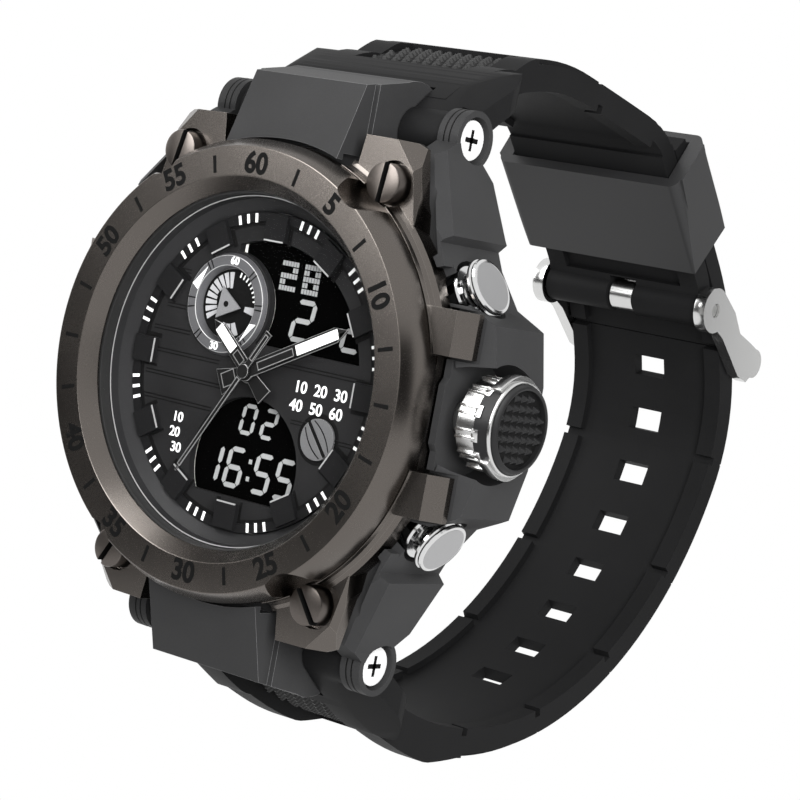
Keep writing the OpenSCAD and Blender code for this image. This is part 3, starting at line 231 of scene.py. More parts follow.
grain.links.new(broad.outputs["Fac"], broad_part.inputs[0])
grain.links.new(broad_part.outputs[0], both.inputs[2])
spread = grain.nodes.new("ShaderNodeMapRange")
spread.inputs["From Min"].default_value = 0.3
spread.inputs["From Max"].default_value = 0.7
grain.links.new(both.outputs[0], spread.inputs["Value"])
tint = grain.nodes.new("ShaderNodeMix")
tint.data_type = "RGBA"
grain.links.new(spread.outputs[0], tint.inputs["Factor"])
grain.links.new(given.outputs["Dark"], tint.inputs["A"])
grain.links.new(given.outputs["Pale"], tint.inputs["B"])
dull = grain.nodes.new("ShaderNodeMath")
dull.operation = "MULTIPLY_ADD"
grain.links.new(spread.outputs[0], dull.inputs[0])
grain.links.new(given.outputs["Rough range"], dull.inputs[1])
grain.links.new(given.outputs["Rough"], dull.inputs[2])
grain.links.new(tint.outputs["Result"], gives.inputs["Colour"])
grain.links.new(dull.outputs[0], gives.inputs["Roughness"])
grain.links.new(fine.outputs["Fac"], gives.inputs["Height"])


def finish(name, colour, rough, metal=0.0, size=5000, contrast=0.12, rough_range=0.06, depth=0.01,
           level=0.5):
    """A material of one colour with a fine grain: depth is the grain's height in millimetres."""
    made = bpy.data.materials.new(name)
    made.use_nodes = True
    tree = made.node_tree
    skin = tree.nodes["Principled BSDF"]
    skin.inputs["Metallic"].default_value = metal
    skin.inputs["Specular IOR Level"].default_value = level
    part = tree.nodes.new("ShaderNodeGroup")
    part.node_tree = grain
    part.inputs["Size"].default_value = size
    part.inputs["Dark"].default_value = [c * (1 - contrast) for c in colour] + [1]
    part.inputs["Pale"].default_value = [c * (1 + contrast) for c in colour] + [1]
    part.inputs["Rough"].default_value = rough
    part.inputs["Rough range"].default_value = rough_range
    bump = tree.nodes.new("ShaderNodeBump")
    bump.inputs["Strength"].default_value = 1
    bump.inputs["Distance"].default_value = depth * MM
    tree.links.new(part.outputs["Colour"], skin.inputs["Base Color"])
    tree.links.new(part.outputs["Roughness"], skin.inputs["Roughness"])
    tree.links.new(part.outputs["Height"], bump.inputs["Height"])
    tree.links.new(bump.outputs["Normal"], skin.inputs["Normal"])
    return made


WELD = 0.002 * MM
FLAT = math.radians(0.6)


def dressed(name, made, edge=0.0, sharp=30, edge_highlight=None):
    """Gives a CAD node its material, and its outside corners a small round in millimetres; where an edge
    highlight is given, the rounds take that lighter material as a painted highlight.
    """
    node = nodes[name]
    node.data.materials.clear()
    node.data.materials.append(made)
    for face in node.data.polygons:
        face.use_smooth = True
        face.material_index = 0
    weld = node.modifiers.new("weld", "WELD")
    weld.merge_threshold = WELD
    if edge:
        flat = node.modifiers.new("flat_faces", "DECIMATE")
        flat.decimate_type = "DISSOLVE"
        flat.angle_limit = FLAT
        rounds = node.modifiers.new("rounds", "BEVEL")
        rounds.width = edge * MM
        rounds.segments = 2
        rounds.limit_method = "ANGLE"
        rounds.angle_limit = math.radians(sharp)
        rounds.use_clamp_overlap = True
        if edge_highlight:
            node.data.materials.append(edge_highlight)
            rounds.material = 1
        even = node.modifiers.new("even", "WEIGHTED_NORMAL")
        even.keep_sharp = True
    else:
        split = node.modifiers.new("edges", "EDGE_SPLIT")
        split.split_angle = math.radians(sharp)


case_resin = finish("case_resin", (0.019, 0.019, 0.0194), 0.43, size=9000, contrast=0.2, depth=0.008,
                    level=0.09)
resin_highlight = finish("case_resin_highlight", (0.075, 0.075, 0.0762), 0.4, size=9000, contrast=0.1,
                    depth=0.006, level=0.4)
dressed("case_middle", case_resin, 0.16, edge_highlight=resin_highlight)
dressed("hood_12", case_resin, 0.22, edge_highlight=resin_highlight)
dressed("hood_6", case_resin, 0.22, edge_highlight=resin_highlight)

# The bezel: a die-cast frame with four corner plates and claws, and a turned ring on it with
# plain minute numbers laid into its flat face in black. Blasted, then coated gunmetal; four
# slotted screws hold both to the case.
gunmetal = finish("gunmetal", (0.14, 0.126, 0.115), 0.24, metal=1.0, size=14000, contrast=0.05,
                  rough_range=0.05, depth=0.002)
# A lighter copy of the gunmetal for the frame's rounded edges: a painted highlight.
gun_highlight = finish("gunmetal_highlight", (0.26, 0.24, 0.22), 0.28, metal=1.0, size=14000, contrast=0.05)
# Black paint for the ring's numbers; the same black is painted shade in the bezel screws' slots and in the
# lug screws' cross recesses and boss grooves.
black_paint_and_recess_shade = finish("black_paint_and_recess_shade", (0.003, 0.003, 0.003), 0.5, size=9000, depth=0.003, level=0.05)
dressed("bezel_frame", gunmetal, 0.2, sharp=16, edge_highlight=gun_highlight)

# The dial's own plane: x to 3 o'clock, y to 12 o'clock, z out of the dial, in millimetres
FACE = Matrix(((1, 0, 0, 0), (0, 0, -1, 0), (0, 1, 0, 0), (0, 0, 0, 1)))
DOUBLES = 0.0005
# height of a figure as a share of the type's size
FIGURE = 0.72


def spun(bm, profile, index=0, steps=128, place=Matrix()):
    """Adds a ring or disc turned from a closed outline of (radius, height) corners."""
    corners = [bm.verts.new((r, 0, h)) for r, h in profile]
    outline = [bm.edges.new((a, b)) for a, b in zip(corners, corners[1:] + corners[:1])]
    old = set(bm.faces)
    bmesh.ops.spin(bm, geom=corners + outline, cent=(0, 0, 0), axis=(0, 0, 1), angle=math.tau,
                   steps=steps, use_merge=True)
    new = [f for f in bm.faces if f not in old]
    points = list({v for f in new for v in f.verts})
    bmesh.ops.remove_doubles(bm, verts=points, dist=DOUBLES)
    new = [f for f in bm.faces if f not in old]
    for face in new:
        face.material_index = index
    bmesh.ops.transform(bm, matrix=place, verts=list({v for f in new for v in f.verts}))
    return new


def slab(bm, outline, low, high, index=0, place=Matrix()):
    """Adds a flat piece of any outline between two heights."""
    base = bm.faces.new([bm.verts.new((x, y, low)) for x, y in outline])
    base.material_index = index
    raised = bmesh.ops.extrude_face_region(bm, geom=[base], use_keep_orig=True)
    top = [v for v in raised["geom"] if isinstance(v, bmesh.types.BMVert)]
    bmesh.ops.translate(bm, vec=(0, 0, high - low), verts=top)
    bmesh.ops.transform(bm, matrix=place, verts=top + list(base.verts))


def oblong(left, low, right, up):
    """The outline of a rectangle."""
    return (left, low), (right, low), (right, up), (left, up)


def polar(r, turn):
    """A place on the dial: turn is clockwise from 12 in degrees."""
    return r * math.sin(math.radians(turn)), r * math.cos(math.radians(turn))


def sector(inner, outer, first, last, n=8):
    """The outline of a piece of a flat ring, between two turns in degrees."""
    turns = [first + (last - first) * k / n for k in range(n + 1)]
    return [polar(outer, a) for a in turns] + [polar(inner, a) for a in reversed(turns)]


def at(x, y, z=0.0, turn=0.0):
    """The matrix of a place on the dial, with a clockwise turn in degrees."""
    return Matrix.Translation((x, y, z)) @ Matrix.Rotation(math.radians(-turn), 4, "Z")


def number(bm, text, height, depth, place, index=0, bold=0.03):
    """Adds a plain number: its front at height 0 of its place, its thickness below that."""
    curve = bpy.data.curves.new("number", "FONT")
    curve.body = text
    curve.size = height / FIGURE
    curve.extrude = depth / 2
    curve.offset = bold * height
    curve.resolution_u = 5
    curve.align_x = "CENTER"
    curve.align_y = "CENTER"
    holder = bpy.data.objects.new("number", curve)
    shape = bpy.data.meshes.new_from_object(holder)
    shape.transform(place @ Matrix.Translation((0, 0, -depth / 2)))
    old = len(bm.faces)
    bm.from_mesh(shape)
    bm.faces.ensure_lookup_table()
    for face in bm.faces[old:]:
        face.material_index = index
    bmesh.ops.remove_doubles(bm, verts=bm.verts, dist=DOUBLES)
    bpy.data.objects.remove(holder)
    bpy.data.curves.remove(curve)
    bpy.data.meshes.remove(shape)


def carved(bm, cutter, materials):
    """The first shape with the second one cut out of it."""
    pair = []
    for source in (bm, cutter):
        bmesh.ops.recalc_face_normals(source, faces=source.faces)
        shape = mesh_of(source, "carving")
        for made in materials:
            shape.materials.append(made)
        pair.append(bpy.data.objects.new("carving", shape))
        scene.collection.objects.link(pair[-1])
    cut = pair[0].modifiers.new("cut", "BOOLEAN")
    cut.operation = "DIFFERENCE"
    cut.solver = "EXACT"
    cut.object = pair[1]
    bpy.context.view_layer.update()
    result = bmesh.new()
    result.from_mesh(pair[0].evaluated_get(bpy.context.evaluated_depsgraph_get()).data)
    for holder in pair:
        shape = holder.data
        bpy.data.objects.remove(holder)
        bpy.data.meshes.remove(shape)
    return result


def joined(bm, other, place):
    """Adds a finished shape to another one at a place."""
    bmesh.ops.transform(other, matrix=place, verts=other.verts)
    shape = mesh_of(other, "joined")
    bm.from_mesh(shape)
    bpy.data.meshes.remove(shape)


def rounded(bm, width, sharp=30):
    """Rounds every corner that turns more than an angle."""
    corners = [e for e in bm.edges if e.calc_face_angle(0) > math.radians(sharp)]
    bmesh.ops.bevel(bm, geom=corners, offset=width, offset_type="OFFSET", affect="EDGES",
                    segments=2, profile=0.5, material=-1, clamp_overlap=True)


def piece(name, bm, materials, body, place=FACE, sharp=30, instead=()):
    """Makes an object of a shape in millimetres and joins it to a body."""
    bmesh.ops.recalc_face_normals(bm, faces=bm.faces)
    bmesh.ops.transform(bm, matrix=Matrix.Scale(MM, 4) @ place, verts=bm.verts)
    for face in bm.faces:
        face.smooth = True
    for edge in bm.edges:
        edge.smooth = edge.calc_face_angle(0) < math.radians(sharp)
    shape = mesh_of(bm, name)
    for made in materials:
        shape.materials.append(made)
    whole = bpy.data.objects.new(name, shape)
    scene.collection.objects.link(whole)
    whole.modifiers.new("even", "WEIGHTED_NORMAL").keep_sharp = True
    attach(whole, body)
    if instead:
        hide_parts(*instead)


# x and y of a bezel screw, and the turn of its slot in degrees
SCREWS = ((12.9, 20.2, 6), (12.9, -20.2, -38), (-12.9, 20.2, 12), (-12.9, -20.2, 30))
NOTCH_R = 2.95
bm = bmesh.new()
spun(bm, ((17.9, 11), (22.2, 11), (22.4, 11.6), (22.4, 14.0), (21.5, 15.67), (18.6, 15.67),
          (17.36, 14.0), (17.36, 13.85), (17.9, 13.85)), steps=240)
bmesh.ops.recalc_face_normals(bm, faces=bm.faces)
rounded(bm, 0.14)
cutter = bmesh.new()
for x, y, turn in SCREWS:
    bmesh.ops.create_cone(cutter, cap_ends=True, segments=64, radius1=NOTCH_R, radius2=NOTCH_R, depth=20,
                          matrix=Matrix.Translation((x, y, 12)))
bm = carved(bm, cutter, (gunmetal,))
piece("bezel_ring_notched", bm, (gunmetal,), "case", instead=("bezel_ring",))

INLAY_LOW = 15.64
INLAY_TOP = 15.69
NUMBERS_R = 19.85
bm = bmesh.new()
for minute in (5, 10, 20, 25, 30, 35, 40, 50, 55, 60):
    x, y = polar(NUMBERS_R, 6 * minute)
    upright = 180 if 15 < minute < 45 else 0
    number(bm, str(minute), 2.05, 0.05, at(x, y, INLAY_TOP, 6 * minute + upright), 0, 0.05)
for turn in (-45, -15, 15, 45, 135, 165, 195, 225, 75, 90, 105, 255, 270, 285):
    slab(bm, sector(19.0, 20.7, turn - 0.55, turn + 0.55, 2), INLAY_LOW, INLAY_TOP)
piece("bezel_numbers", bm, (black_paint_and_recess_shade,), "case")

screw_metal = finish("screw_metal", (0.13, 0.115, 0.105), 0.3, metal=1.0, size=9000, depth=0.002)
bm = bmesh.new()
for x, y, turn in SCREWS:
    head = bmesh.new()
    spun(head, ((0, 6.4), (1, 6.4), (1, 10.05), (1.95, 10.05), (1.95, 12.5), (0, 12.5)), steps=64)
    bmesh.ops.recalc_face_normals(head, faces=head.faces)
    rounded(head, 0.18)
    # The slot's faces take the black: painted shade in the slot.
    slot = bmesh.new()
    slab(slot, oblong(-0.3, -3, 0.3, 3), 11.7, 13, 1)
    joined(bm, carved(head, slot, (screw_metal, black_paint_and_recess_shade)), at(x, y, 0, turn))
piece("bezel_screws_slotted", bm, (screw_metal, black_paint_and_recess_shade), "case", instead=("bezel_screws",))

# The crystal: flat mineral glass, ground and polished, its edge pressed into a black rubber
# gasket under the bezel's lip. The case back's and crown's gaskets are the same rubber.
glass = bpy.data.materials.new("crystal_glass")
glass.use_nodes = True
tree = glass.node_tree
skin = tree.nodes["Principled BSDF"]
skin.inputs["Roughness"].default_value = 0.02
skin.inputs["Base Color"].default_value = (0.01, 0.01, 0.01, 1)
where = tree.nodes.new("ShaderNodeTexCoord")
smear = tree.nodes.new("ShaderNodeTexNoise")
smear.inputs["Scale"].default_value = 40
veil = tree.nodes.new("ShaderNodeMapRange")
veil.inputs["To Min"].default_value = 0.006
veil.inputs["To Max"].default_value = 0.014
tree.links.new(where.outputs["Object"], smear.inputs["Vector"])
tree.links.new(smear.outputs["Fac"], veil.inputs["Value"])
tree.links.new(veil.outputs[0], skin.inputs["Alpha"])
dressed("crystal", glass)
seal = finish("seal_rubber", (0.012, 0.012, 0.012), 0.6)
for name in ("crystal_gasket", "case_back_gasket", "crown_gasket"):
    dressed(name, seal)

# The sloping ring round the dial: moulded in black plastic, and held down by the crystal and
# its gasket. A thin bright ring just under the crystal's edge is a painted highlight of that edge.
flange_black = finish("flange_black", (0.012, 0.012, 0.0125), 0.42, size=9000, depth=0.003, level=0.16)
# A pale material for painted highlights: the crystal's edge, the hour blocks' inner edges, and the rounded
# edges of the small dial's ring and of the dial screw.
painted_highlight = finish("painted_highlight", (0.34, 0.34, 0.34), 0.35, metal=0.4, size=9000)
dressed("flange_ring", flange_black, 0.03)


def washer(bm, inner, outer, low, high, index=0, steps=128, place=Matrix()):
    """Adds a flat ring between two heights, or a disc where the inner radius is 0."""
    spun(bm, ((inner, low), (outer, low), (outer, high), (inner, high)), index, steps, place)


bm = bmesh.new()
washer(bm, 17.0, 17.12, 12.44, 12.49)
piece("crystal_edge_highlight", bm, (painted_highlight,), "case")

# The dial: a pressed plate with a sandy dark grey grain and fine grooves, cut out for the two
# displays, its outer edge stepped between moulded black hour blocks. Ticks and numbers are
# printed in white. The grooves and the gaps beside the hour blocks are black strips of painted
# shade, and a pale line on each block's inner edge is a painted highlight.
DIAL = 10.5
plate_gray = finish("plate_gray", (0.009, 0.009, 0.0093), 0.6, size=16000, contrast=0.6, depth=0.02,
                    level=0.12)
# Black for the small dial's division lines and well; the same black is painted shade in grooves, slots,
# flutes and gaps between parts.
groove_shade_and_black_print = finish("groove_shade_and_black_print", (0.004, 0.004, 0.004), 0.5, size=9000, level=0.05)
block_black = finish("block_black", (0.007, 0.007, 0.0073), 0.45, size=9000, depth=0.003, level=0.06)
white_paint = finish("white_paint", (0.86, 0.87, 0.86), 0.55, size=9000, depth=0.003)
dressed("dial_plate", plate_gray)
dressed("hour_ring", block_black)
bm = bmesh.new()
washer(bm, 14.35, 14.8, DIAL + 0.01, DIAL + 0.04)
for k in range(12):
    turn = 30 * k
    place = at(0, 0, 0, turn)
    # painted shade: a black strip down each side of every hour block, wider on its clockwise side; and a
    # painted highlight: the pale line on the block's inner edge
    slab(bm, oblong(-1.55, 12.6, -1.3, 14.75), DIAL + 0.01, DIAL + 0.05, 0, place)
    slab(bm, oblong(1.3, 12.6, 1.75, 14.75), DIAL + 0.01, DIAL + 0.05, 0, place)
    slab(bm, oblong(-1.2, 12.83, 1.2, 12.98), DIAL + 0.6, DIAL + 0.68, 1, place)
    # three ticks halfway to the next hour
    for side in (-4, 0, 4):
        x, y = polar(15.12, turn + 15 + side)
        slab(bm, oblong(-0.15, -0.45, 0.15, 0.45), DIAL + 0.24, DIAL + 0.29, 2,
             at(x, y, 0, turn + 15 + side))
# grooves, drawn as black lines of painted shade: x from, x to, y
GROOVES = ((-13.6, -10.2, 8.6), (-12.6, -10.1, 5.0), (-13.8, -9.0, 2.6), (-13.9, -4.6, 0.4),
           (-13.9, -3.4, -1.9), (-13.7, -4.6, -4.3), (3.0, 13.6, 1.6), (7.4, 13.4, -4.6),
           (12.2, 13.6, -7.2), (5.6, 8.0, -3.6))
for left, right, y in GROOVES:
    for low, up, index in ((y - 0.1, y + 0.02, 0), (y - 0.42, y - 0.3, 0), (y + 0.05, y + 0.1, 3)):
        slab(bm, oblong(left, low, right, up), DIAL + 0.005, DIAL + 0.02, index)
for text, x, y, tall in (("10", -8.6, -6.0, 1.0), ("20", -8.7, -7.5, 1.0), ("30", -8.2, -9.0, 1.0),
                         ("10  20  30", 8.6, -0.4, 1.15), ("40  50  60", 8.4, -2.2, 1.15)):
    number(bm, text, tall, 0.04, at(x, y, DIAL + 0.05), 2, 0.02)
piece("dial_print", bm, (groove_shade_and_black_print, painted_highlight, white_paint, plate_gray), "case")

# The small dial at 10 o'clock: a grey ring with division lines round a black well, a fan of
# bars and short ticks printed on the well's floor, and a three-pointed rotor on its own arbor.
SMALL_DIAL = FACE @ at(-4.8, 6.0)
dial_gray = finish("dial_gray", (0.05, 0.05, 0.053), 0.45, size=12000, contrast=0.3, depth=0.008)
print_gray = finish("print_gray", (0.30, 0.30, 0.31), 0.5, size=9000)
# The ring's rounded edges take the pale line material: a painted highlight.
dressed("subdial_ring", dial_gray, 0.05, edge_highlight=painted_highlight)
rotor_gray = finish("rotor_gray", (0.17, 0.17, 0.175), 0.4, metal=0.3)
ROTOR_R = 1.85
bm = bmesh.new()
washer(bm, 0, 0.25, 6.8, 10.75, 1, 32)
points = [(ROTOR_R * math.cos(math.radians(a)), ROTOR_R * math.sin(math.radians(a))) for a in (-5, 115, 235)]
slab(bm, points, 10.62, 10.8)
washer(bm, 0, 0.3, 10.8, 10.82, 1, 32)
piece("subdial_rotor_pointed", bm, (rotor_gray, groove_shade_and_black_print), "rotor", place=SMALL_DIAL,
      instead=("subdial_rotor",))

RING_TOP = DIAL + 0.5
bm = bmesh.new()
for turn in (-40, -34, 40, 46, 84, 90, 134, 140, 216, 222, 258, 270):
    slab(bm, sector(3.85, 4.78, turn - 0.8, turn + 0.8, 2), RING_TOP + 0.005, RING_TOP + 0.03)
for text, turn in (("60", 5), ("30", 186)):
    x, y = polar(4.3, turn)
    number(bm, text, 0.78, 0.03, at(x, y, RING_TOP + 0.04), 2, 0.03)
slab(bm, (polar(3.9, 283), polar(4.75, 287), polar(4.4, 318)), RING_TOP + 0.01, RING_TOP + 0.04, 2)
slab(bm, (polar(3.9, 112), polar(4.6, 108), polar(4.3, 142)), RING_TOP + 0.01, RING_TOP + 0.04, 2)
WELL = 10.1
washer(bm, 0.62, 3.5, WELL, WELL + 0.02)
for k in range(8):
    slab(bm, sector(2.85, 3.35, 12 + 9 * k, 15 + 9 * k, 2), WELL + 0.02, WELL + 0.05, 2)
for k in range(9):
    first = 235 + 14 * k
    slab(bm, sector(2.0 - 0.1 * abs(k - 4), 3.2, first, first + 10, 3), WELL + 0.02, WELL + 0.05, 3)
for first, last in ((88, 103), (150, 164), (168, 182), (186, 196)):
    slab(bm, sector(1.9, 3.2, first, last, 3), WELL + 0.02, WELL + 0.05, 3)
piece("subdial_print", bm, (groove_shade_and_black_print, painted_highlight, white_paint, print_gray), "case", place=SMALL_DIAL)

# The two displays: black negative liquid crystal cells of thin glass, clamped behind the
# plate's windows, with pale segments. The upper one also forms two digits of small dots.
lcd_black = finish("lcd_black", (0.0006, 0.0006, 0.0006), 0.5, size=3000, depth=0.0005, level=0.0)
segment_gray = finish("segment_gray", (0.22, 0.225, 0.225), 0.5, size=9000)
dressed("lcd_upper", lcd_black)
dressed("lcd_lower", lcd_black)
# the bars that a digit lights; and of each bar its place across and up, and whether it stands
SEGMENTS = {"0": "abcdef", "1": "bc", "2": "abdeg", "5": "acdfg", "6": "acdefg"}
BARS = {"a": (0, 1, 0), "b": (0.5, 0.5, 1), "c": (0.5, -0.5, 1), "d": (0, -1, 0), "e": (-0.5, -0.5, 1),
        "f": (-0.5, 0.5, 1), "g": (0, 0, 0)}
DOTS = {"2": ("111", "001", "111", "100", "111"), "8": ("111", "101", "111", "101", "111")}
CELL = -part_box("lcd_upper")[0][1] / MM + 0.01
SEGMENT_T = 0.02
SEGMENT_GAP = 0.06
SLANT = 0.12


def segments(bm, digit, x, y, wide, tall, thick):
    """Adds one seven-bar digit, x and y its middle."""
    for bar in SEGMENTS[digit]:
        across, up, stands = BARS[bar]
        middle_x = across * (wide - thick)
        middle_y = up * (tall - thick) / 2
        half = ((tall - thick) / 4 if stands else (wide - thick) / 2) - SEGMENT_GAP
        t = thick / 2
        outline = [(-half, 0), (-half + t, t), (half - t, t), (half, 0), (half - t, -t), (-half + t, -t)]
        if stands:
            outline = [(b, a) for a, b in outline]
        slab(bm, [(x + middle_x + a + SLANT * (middle_y + b), y + middle_y + b) for a, b in outline],
             CELL, CELL + SEGMENT_T)


bm = bmesh.new()
segments(bm, "2", 4.0, 5.8, 2.6, 4.2, 0.5)
segments(bm, "2", 10.4, 5.8, 2.6, 4.2, 0.5)
for digit, left in (("2", 0.3), ("8", 3.15)):
    for row, line in enumerate(DOTS[digit]):
        for column, on in enumerate(line):
            if on == "1":
                for k in (0, 1):
                    x = left + column * 0.7 + k * 0.35
                    y = 10.8 - row * 0.6
                    slab(bm, oblong(x, y, x + 0.28, y + 0.48), CELL, CELL + SEGMENT_T)
piece("lcd_upper_digits", bm, (segment_gray,), "case")
bm = bmesh.new()
segments(bm, "0", -0.5, -4.7, 1.9, 3.1, 0.42)
segments(bm, "2", 2.2, -4.7, 1.9, 3.1, 0.42)
for digit, x in (("1", -4.1), ("6", -1.2), ("5", 2.4), ("5", 5.2)):
    segments(bm, digit, x, -9.6, 2.3, 4.1, 0.5)
for y in (-8.9, -10.6):
    slab(bm, oblong(0.5, y, 0.9, y + 0.45), CELL, CELL + SEGMENT_T)
piece("lcd_lower_digits", bm, (segment_gray,), "case")

# A decorative screw head in the dial: a turned disc, satin grey, its rounded rim drawn bright as a
# painted highlight, pressed into its seat. Its slot, its two bowed grooves and the gap round its
# seat are drawn in black as painted shade.
disc_gray = finish("disc_gray", (0.11, 0.11, 0.113), 0.4, metal=0.3, size=9000)
dressed("dial_screw", disc_gray, 0.04, edge_highlight=painted_highlight)
DISC_TOP = DIAL + 0.2
bm = bmesh.new()
slab(bm, oblong(-0.18, -1.9, 0.18, 1.9), DISC_TOP - 0.02, DISC_TOP + 0.01)
for side in (-1, 1):
    bow = [(side * (0.55 + 0.35 * (1 - (y / 1.8) ** 2)), y) for y in (-1.75, -1.2, -0.6, 0, 0.6, 1.2, 1.75)]
    slab(bm, bow + [(x + side * 0.13, y) for x, y in reversed(bow)], DISC_TOP + 0.001, DISC_TOP + 0.012)
washer(bm, 2.02, 2.5, DIAL - 0.1, DIAL - 0.06)
piece("dial_screw_shade", bm, (groove_shade_and_black_print,), "case", place=FACE @ at(9.3, -4.9, 0, -40))

# The hands: stamped and blackened, their cut edges and thin lines round their frames drawn bright
# as a painted highlight; the outer half of the hour and minute hands carries a luminous filling.
hand_black = finish("hand_black", (0.005, 0.005, 0.005), 0.35, size=9000, depth=0.001, level=0.12)
hand_highlight = finish("hand_highlight", (0.22, 0.22, 0.22), 0.3, metal=0.5, size=9000)
for name in ("hour_hand", "minute_hand", "second_hand"):
    dressed(name, hand_black, 0.05, edge_highlight=hand_highlight)
for name in ("hour_lume", "minute_lume"):
    dressed(name, white_paint)
LINE = 0.09
# turn in degrees, height of the face, frames of painted highlight lines: left, low, right, up
HANDS = {
    "hour": (309, DIAL + 0.72 + 0.22, ((-0.42, 1.15, 0.42, 2.6),)),
    "minute": (62.6, DIAL + 1.14 + 0.22, ((-0.42, 1.6, 0.42, 6.2), (-0.75, -3.0, 0.75, -1.3))),
    "second": (210, DIAL + 1.52 + 0.18, ((-0.24, -4.5, 0.24, -1.4), (-0.24, 0.8, 0.24, 12.0))),
}
for name, (turn, high, frames) in HANDS.items():
    bm = bmesh.new()
    for left, low, right, up in frames:
        for sides in ((left, low, left + LINE, up), (right - LINE, low, right, up),
                      (left + LINE, low, right - LINE, low + LINE),
                      (left + LINE, up - LINE, right - LINE, up)):
            slab(bm, oblong(*sides), high, high + 0.012)
    piece(name + "_hand_highlight_lines", bm, (hand_highlight,), name, place=FACE @ at(0, 0, 0, turn))

# Inside and underneath: turned and stamped steel and brass, white and green mouldings of the
# module, which is clipped together and held by the case back; in the whole watch almost all of it
# is out of sight.
steel = finish("steel", (0.56, 0.56, 0.55), 0.3, metal=1.0, size=6000, contrast=0.08, depth=0.002)
brass = finish("brass", (0.66, 0.49, 0.22), 0.32, metal=1.0, size=6000, contrast=0.08, depth=0.002)
for name in ("hand_movement", "battery", "case_back_screws", "crown_tube", "lug_bars", "crown_stem",
             "setting_lever", "buckle_bar"):
    dressed(name, steel, 0.03)
for hour in (2, 4, 8, 10):
    dressed("pusher_spring_%d" % hour, steel)
    dressed("pusher_clip_%d" % hour, steel)
dressed("case_back", steel, 0.08)
dressed("battery_clip", brass)
dressed("buzzer", brass)
dressed("module_frame", finish("module_white", (0.7, 0.7, 0.66), 0.5))
dressed("circuit_board", finish("board_green", (0.02, 0.13, 0.06), 0.35))
dressed("zebra_connectors", finish("connector_rubber", (0.07, 0.07, 0.07), 0.6))
dressed("backlight_led", finish("led_body", (0.8, 0.76, 0.58), 0.3))

# The four push-buttons: plated caps with a satin face between bright rims, each in a plated
# collar with flutes that is pressed into the case. The flutes, and the groove between each cap's
# rims, are blackened as painted shade.
chrome = finish("chrome", (0.7, 0.7, 0.7), 0.13, metal=1.0, size=3000, contrast=0.02, rough_range=0.02,
                depth=0.0005)
bright = finish("bright_plate", (0.66, 0.66, 0.655), 0.22, metal=1.0, size=3000, contrast=0.02,
                rough_range=0.0, depth=0.0)
satin = finish("satin_plate", (0.47, 0.47, 0.475), 0.45, metal=1.0, size=16000, contrast=0.06,
               depth=0.001)
# Height of the crown's and the buttons' middle lines above the case back's face
CONTROL = 6.3
# hour, and angle from 3 towards 12 o'clock
PUSHERS = ((2, 28.5), (4, -28.5), (8, 208.5), (10, 151.5))
# distances of a cap's face and of its stem's end from the middle of the watch
CAP = 26.3
STEM_END = 18.4
FLUTES = 8
FLUTE_SHARE = 0.45


def outwards(angle):
    """The frame of a control that points out of the case: angle is from 3 towards 12 o'clock."""
    c = math.cos(math.radians(angle))
    s = math.sin(math.radians(angle))
    return Matrix(((-s, 0, c, 0), (0, -1, 0, -CONTROL), (c, 0, s, 0), (0, 0, 0, 1)))


def fluted(faces):
    """Blackens some of the faces round a turned piece: painted shade that stands in for deep flutes."""
    for face in faces:
        x, y, z = face.calc_center_median()
        if math.degrees(math.atan2(y, x)) % (360 / FLUTES) < 360 / FLUTES * FLUTE_SHARE:
            face.material_index = 2


collars = bmesh.new()
for hour, angle in PUSHERS:
    cup = bmesh.new()
    spun(cup, ((0.85, 20.4), (1.9, 20.4), (1.9, 21.7), (2.05, 21.9), (2.05, 23.95), (2.2, 24.2), (2.0, 24.2),
               (1.9, 23.4), (0.85, 23.2)), 0, 64)
    fluted(spun(cup, ((2.1, 21.9), (2.2, 21.9), (2.72, 23.8), (2.1, 23.8)), 0, 64))
    spun(cup, ((2.1, 23.8), (2.8, 23.8), (2.84, 23.95), (2.74, 24.19), (2.1, 24.19)), 0, 64)
    bmesh.ops.recalc_face_normals(cup, faces=cup.faces)
    joined(collars, cup, outwards(angle))
piece("pusher_collars_fluted", collars, (chrome, satin, groove_shade_and_black_print), "case", place=Matrix(),
      instead=("pusher_collars",))
for hour, angle in PUSHERS:
    bm = bmesh.new()
    spun(bm, ((0, STEM_END), (0.8, STEM_END), (0.8, CAP - 0.95), (2.7, CAP - 0.95), (2.88, CAP - 0.85),
              (2.88, CAP - 0.62), (2.72, CAP - 0.5), (0, CAP - 0.5)), 0, 64)
    washer(bm, 0, 2.55, CAP - 0.5, CAP - 0.38, 2, 64)
    fluted(spun(bm, ((0, CAP - 1.9), (1.5, CAP - 1.9), (1.8, CAP - 0.9), (0, CAP - 0.9)), 0, 64))
    spun(bm, ((0, CAP - 0.38), (2.72, CAP - 0.38), (2.78, CAP - 0.28), (2.68, CAP - 0.1),
              (2.45, CAP - 0.03), (2.4, CAP - 0.05), (0, CAP - 0.05)), 0, 64)
    spun(bm, ((0, CAP - 0.06), (2.4, CAP - 0.06), (2.38, CAP - 0.03), (0, CAP)), 1, 64)
    piece("pusher_%d_cap" % hour, bm, (chrome, satin, groove_shade_and_black_print), "button_%d" % hour,
          place=outwards(angle), instead=("pusher_%d" % hour,))

